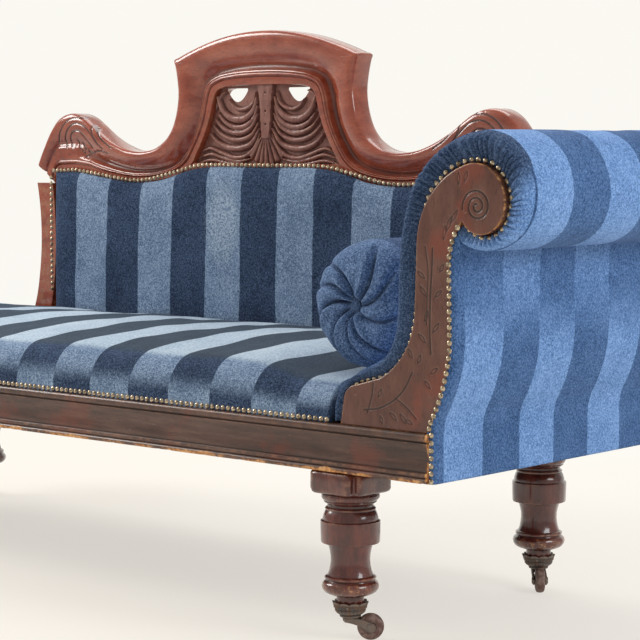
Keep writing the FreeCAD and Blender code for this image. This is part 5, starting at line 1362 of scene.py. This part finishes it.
def tacked_cloth(node_name, name, ways, out, slack, material):
    """A cloth cut to its CAD outline, gridded, let out between its tacked edges and puckered along them."""
    low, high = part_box(node_name)
    work = gridded(node_name, 0.014, ways)
    area = sum(face.calc_area() for face in work.faces if abs(face.normal[out]) > 0.5) / 2
    spots = np.array([vert.co[:] for vert in work.verts])
    push = np.ones(len(spots))
    for axis in ways:
        from_edge = np.minimum(spots[:, axis] - low[axis], high[axis] - spots[:, axis])
        push *= np.clip(from_edge / (0.35 * (high[axis] - low[axis])), 0, 1) ** 0.6
    flat_spots = spots * 1000
    flat_spots[:, out] = 0
    push = push * (slack + 0.25 * slack * waves(flat_spots, 160, 91))
    push += 0.12 * abs(slack) * np.cos(flat_spots[:, ways[0]] * 2 * math.pi / 32) * np.exp(-push * push)
    for vert, distance in zip(work.verts, push):
        vert.co[out] += distance * 0.001
    mesh = bpy.data.meshes.new(name)
    work.to_mesh(mesh)
    work.free()
    item = put_in(name, mesh, material, [node_name], sharp=40)


tacked_cloth(
    "back_outer_cloth",
    "outer_back_cover",
    (0, 2),
    1,
    1.6,
    border_velvet,
)
tacked_cloth(
    "bottom_cloth",
    "dust_cloth",
    (0, 1),
    2,
    -6.0,
    dust_linen,
)

# The seat: sprung on jute webbing, covered with hessian, stuffed and pulled down in one striped piece over
# a rounded front edge, which rises to a crown and dips under the bolster.
spring_steel = Finish("spring_steel")
tarnish = spring_steel.noise(80.0, 5.0, 0.6).above(0.4, 0.65)
spring_steel.set(
    Base_Color=spring_steel.mix(tarnish, (0.32, 0.31, 0.30), (0.16, 0.10, 0.07)),
    Metallic=0.9 - tarnish * 0.5,
    Roughness=0.38 + tarnish * 0.3,
    Normal=spring_steel.bump(tarnish, 0.0003, 0.5),
)
refinish(spring_steel.material, "seat_springs")
seat_velvet = velvet_finish(
    "velvet_seat",
    "X",
    navy,
    slate,
    rail_corner.x - 0.6935,
    # The last two palettes are the painted sheen of the seat's upward faces.
    ((0.018, 0.030, 0.048), (0.062, 0.088, 0.120)),
    ((0.25, 0.35, 0.47), (0.62, 0.72, 0.80)),
)
seat_low, seat_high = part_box("seat_pad")
seat_left = (seat_low.x - rail_corner.x) * 1000
seat_right = (seat_high.x - rail_corner.x) * 1000
seat_front = (seat_low.y - rail_corner.y) * 1000
seat_rear = (seat_high.y - rail_corner.y) * 1000
seat_base = seat_low.z * 1000
seat_crown = seat_high.z * 1000 - seat_base
bolster_low, bolster_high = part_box("bolster")
bolster_x = ((bolster_low.x + bolster_high.x) / 2 - rail_corner.x) * 1000
bolster_r = (bolster_high.x - bolster_low.x) * 500
bolster_bottom = bolster_low.z * 1000
seat_columns = 330
front_turn = 60
seat_rows = 150
back_gap = 521.0
open_foot = 262.0
foot_round = 150.0
seat_x = seat_left + (seat_right - seat_left) * np.linspace(0, 1, seat_columns)
seat_x[:90] = seat_left + (seat_x[90] - seat_left) * (np.linspace(0, 1, 90, endpoint=False)) ** 1.6
share = np.clip((seat_x - seat_left) / foot_round, 0, 1)
swell = np.sqrt(share * (2 - share))
press = np.clip((seat_x - bolster_x + 1.9 * bolster_r) / (1.4 * bolster_r), 0, 1)
press = press * press * (3 - 2 * press)
front_rise = 13 + (51 - 13) * swell
crown_rise = 18 + (seat_crown - 18) * swell + (bolster_bottom - 0.3 - seat_base - seat_crown) * press
at_foot = seat_x < seat_left + open_foot
step_back = np.clip((seat_left + open_foot + 12 - seat_x) / 12, 0, 1)
depth_end = np.where(at_foot, seat_rear, back_gap + (seat_rear - back_gap) * step_back)
front_share = 0.13
behind_brow = np.linspace(front_share, 1, seat_rows - front_turn + 1)[1:]
across_seat = np.concatenate([np.linspace(0, 1, front_turn) * front_share, behind_brow])
skin = []
for t in across_seat:
    y = seat_front + (seat_rear - seat_front) * t
    # The front turns over like a quarter of an ellipse, then the top goes on up to the crown.
    brow = np.clip((y - seat_front) / 58.0, 0, 1)
    rounded = np.sqrt(np.clip(1 - (1 - brow) ** 2.3, 0, 1)) ** 0.85
    middle = np.sin(math.pi * np.clip((y - seat_front) / (seat_rear - seat_front), 0, 1)) ** 0.8
    rear_brow = np.clip((seat_rear - y) / 58.0, 0, 1)
    rear_round = np.sqrt(np.clip(1 - (1 - rear_brow) ** 2.3, 0, 1)) ** 0.85
    rise = (front_rise + (crown_rise - front_rise) * 0.45) * rounded * np.where(at_foot, rear_round, 1)
    rise = rise + (crown_rise - front_rise) * 0.55 * middle * rounded
    skin.append(np.column_stack([seat_x, np.full(seat_columns, y), seat_base + np.maximum(rise, 0.6)]))
top_skin = np.array(skin)
limit = depth_end[None, :]
top_skin[:, :, 1] = np.minimum(top_skin[:, :, 1], limit)
flat = top_skin.reshape(-1, 3)
lively = np.clip((flat[:, 2] - seat_base) / 30, 0, 1)
settled = waves(flat, 210, 71) * 2.2 + waves(flat, 70, 72) * 0.6
flat[:, 2] += settled * lively * np.clip((flat[:, 1] - seat_front) / 80, 0, 1)
low_x = ((flat[:, 0] - bolster_x) / (bolster_r * 1.1)) ** 2
under = (flat[:, 1] > 60) & (low_x < 1)
flat[:, 2] = np.where(under, np.minimum(flat[:, 2], bolster_bottom - 0.4 + 60 * low_x**1.5), flat[:, 2])
tight = np.exp(-((flat[:, 2] - seat_base) / 12) ** 2) * (flat[:, 1] < seat_front + 12)
flat[:, 1] += tight * (0.5 + 0.5 * np.cos(flat[:, 0] * 2 * math.pi / 11.0)) * 1.0
bottom = flat.copy()
bottom[:, 2] = seat_base
points, faces = closed_slab(flat, bottom, seat_rows, seat_columns)
seat_cover = new_piece("seat_pad_cover", points, faces, seat_velvet, ["seat_pad"])

# The bolster: a loose round cushion of the same velvet, its ends drawn in with pleats to a covered button.
bolster_velvet = velvet_finish(
    "velvet_bolster",
    "Y",
    ((0.010, 0.022, 0.055), (0.034, 0.066, 0.150), (0.120, 0.200, 0.390)),
    ((0.026, 0.052, 0.115), (0.078, 0.138, 0.265), (0.235, 0.345, 0.570)),
    rail_corner.y - 0.0390,
)
bolster_front = (bolster_low.y - rail_corner.y) * 1000
bolster_length = (bolster_high.y - bolster_low.y) * 1000
bolster_centre_z = (bolster_low.z + bolster_high.z) * 500
end_profile = [
    (0.0, 12.0), (8.0, 12.0), (12.0, 10.5), (17.0, 6.0), (26.0, 2.6), (40.0, 0.6), (54.0, 1.6),
    (68.0, 6.0), (80.0, 14.0), (89.0, 25.0), (94.5, 38.0), (97.0, 52.0), (97.7, 70.0),
]
bolster_turns = 240
angles = np.linspace(0, 2 * math.pi, bolster_turns, endpoint=False)
key = np.array(end_profile)
fine_end = smooth_line(key, np.linspace(0, 1, 46))
profile = [(radius, depth) for radius, depth in fine_end]
profile += [(97.7, depth) for depth in np.linspace(78, bolster_length - 78, 60)]
profile += [(radius, bolster_length - depth) for radius, depth in fine_end[::-1]]
rings = []
draw = np.random.default_rng(81)
pleat_count = 9
pleat_places = np.linspace(0, 2 * math.pi, pleat_count, endpoint=False)
pleat_places = np.sort(pleat_places + draw.uniform(-0.30, 0.30, pleat_count))
pleat_depths = draw.uniform(0.55, 1.0, pleat_count)
for radius, depth in profile:
    from_end = min(depth, bolster_length - depth)
    inwards = 1 if depth < bolster_length / 2 else -1
    r = np.full(bolster_turns, float(radius))
    d = np.full(bolster_turns, float(depth))
    near = np.clip(1 - (radius - 10) / 92, 0, 1) if from_end < 60 else 0.0
    if near and radius > 9:
        twist = 0.85 * (radius / 98) ** 1.2
        for place, strength in zip(pleat_places, pleat_depths):
            gap = (angles - place - twist * inwards + math.pi) % (2 * math.pi) - math.pi
            arc = gap * max(radius, 12)
            fold = np.exp(-(((arc - 7 - radius * 0.06) / (5.0 + radius * 0.07)) ** 2))
            dip = np.exp(-((arc / (2.2 + radius * 0.035)) ** 2)) - 0.45 * fold
            d += inwards * dip * strength * 20.0 * near**0.6 * min(1.0, (radius - 8) / 10)
    ring = np.column_stack([r * np.cos(angles), d, r * np.sin(angles)])
    soft = waves(ring, 120, 82) * 1.2 + waves(ring, 45, 83) * 0.5
    if radius > 60:
        r = r - 1.0 + np.minimum(soft, 0.8)
        seam = math.exp(-(((from_end - 24) / 1.6) ** 2)) * 1.3
        r = r - seam
    ring = np.column_stack([r * np.cos(angles), d, r * np.sin(angles)])
    rings.append(ring + (bolster_x, bolster_front, bolster_centre_z))
points = np.concatenate(rings)
points[:, 2] = np.maximum(points[:, 2], bolster_bottom + 0.3)
faces = ring_faces(len(rings), bolster_turns)
bolster = new_piece("bolster_cushion", points, faces, bolster_velvet, ["bolster"], "bolster")
button_profile = [(0.01, 0.0), (5.0, 0.3), (8.6, 1.5), (10.2, 3.6), (10.4, 5.4), (9.6, 7.0), (0.01, 7.0)]
buttons = []
for face, way in ((bolster_front + 6.0, 1), (bolster_front + bolster_length - 6.0, -1)):
    spin, spin_faces = spun(button_profile, 40)
    button = np.column_stack([spin[:, 0], way * spin[:, 2], spin[:, 1]])
    buttons.append((button + (bolster_x, face, bolster_centre_z), spin_faces))
points, faces = joined(buttons)
stands_for = ["bolster_buttons"]
new_piece(
    "bolster_buttons_covered", points, faces, border_velvet, stands_for, "bolster", sharp=60
)

# The brass nails: domed heads driven side by side along every tacked edge, their brass dulled
# in random patches.
brass = Finish("nail_brass")
dull = brass.noise(210.0, 4.0, 0.6).above(0.38, 0.66)
brass_colour = brass.mix(dull, (0.60, 0.49, 0.34), (0.16, 0.12, 0.08))
brass.set(
    Base_Color=brass_colour,
    Metallic=0.9,
    Roughness=0.24 + dull * 0.25,
    Normal=brass.bump(brass.noise(500.0, 3.0, 0.6), 0.0002, 0.6),
)
refinish(brass.material, "seat_nails", "back_nails")


def nail_places(node_name):
    """Where each nail head of a CAD node sits: across, its base, and up, in millimetres from the corner."""
    work = bmesh.new()
    work.from_mesh(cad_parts[node_name].data)
    bmesh.ops.remove_doubles(work, verts=work.verts, dist=0.00002)
    work.verts.index_update()
    seen, places = set(), []
    for vert in work.verts:
        if vert.index in seen:
            continue
        seen.add(vert.index)
        waiting, head = [vert], []
        while waiting:
            here = waiting.pop()
            head.append(here.co[:])
            for edge in here.link_edges:
                other = edge.other_vert(here)
                if other.index not in seen:
                    seen.add(other.index)
                    waiting.append(other)
        head = (np.array(head) - np.array(rail_corner)) * 1000
        middle = (head.min(0) + head.max(0)) / 2
        places.append((middle[0], head[:, 1].max(), middle[2]))
    work.free()
    return places


# The arm's nails are sunk into the border beside the board, so that along its left edge only their rims show.
beside_board, sunk_outwards, sunk_back = 8.5, 4.6, 5.4
nail_dome = [(0.01, 2.7), (1.5, 2.5), (2.8, 1.9), (3.8, 0.9), (4.3, 0.0), (0.01, 0.0)]
heads = []
for x, base, z in nail_places("arm_nails"):
    gap = np.hypot(border_in[:, 0] - x, border_in[:, 1] - z)
    nearest = int(gap.argmin())
    if gap[nearest] < beside_board:
        out_way = border_out[nearest] - border_in[nearest]
        x, z = border_in[nearest] + out_way / np.linalg.norm(out_way) * sunk_outwards
        base = border_front + sunk_back
    spin, spin_faces = spun(nail_dome, 18)
    heads.append((np.column_stack([spin[:, 0] + x, base - spin[:, 2], spin[:, 1] + z]), spin_faces))
points, faces = joined(heads)
new_piece("arm_nail_heads", points, faces, brass.material, ["arm_nails"], sharp=50)
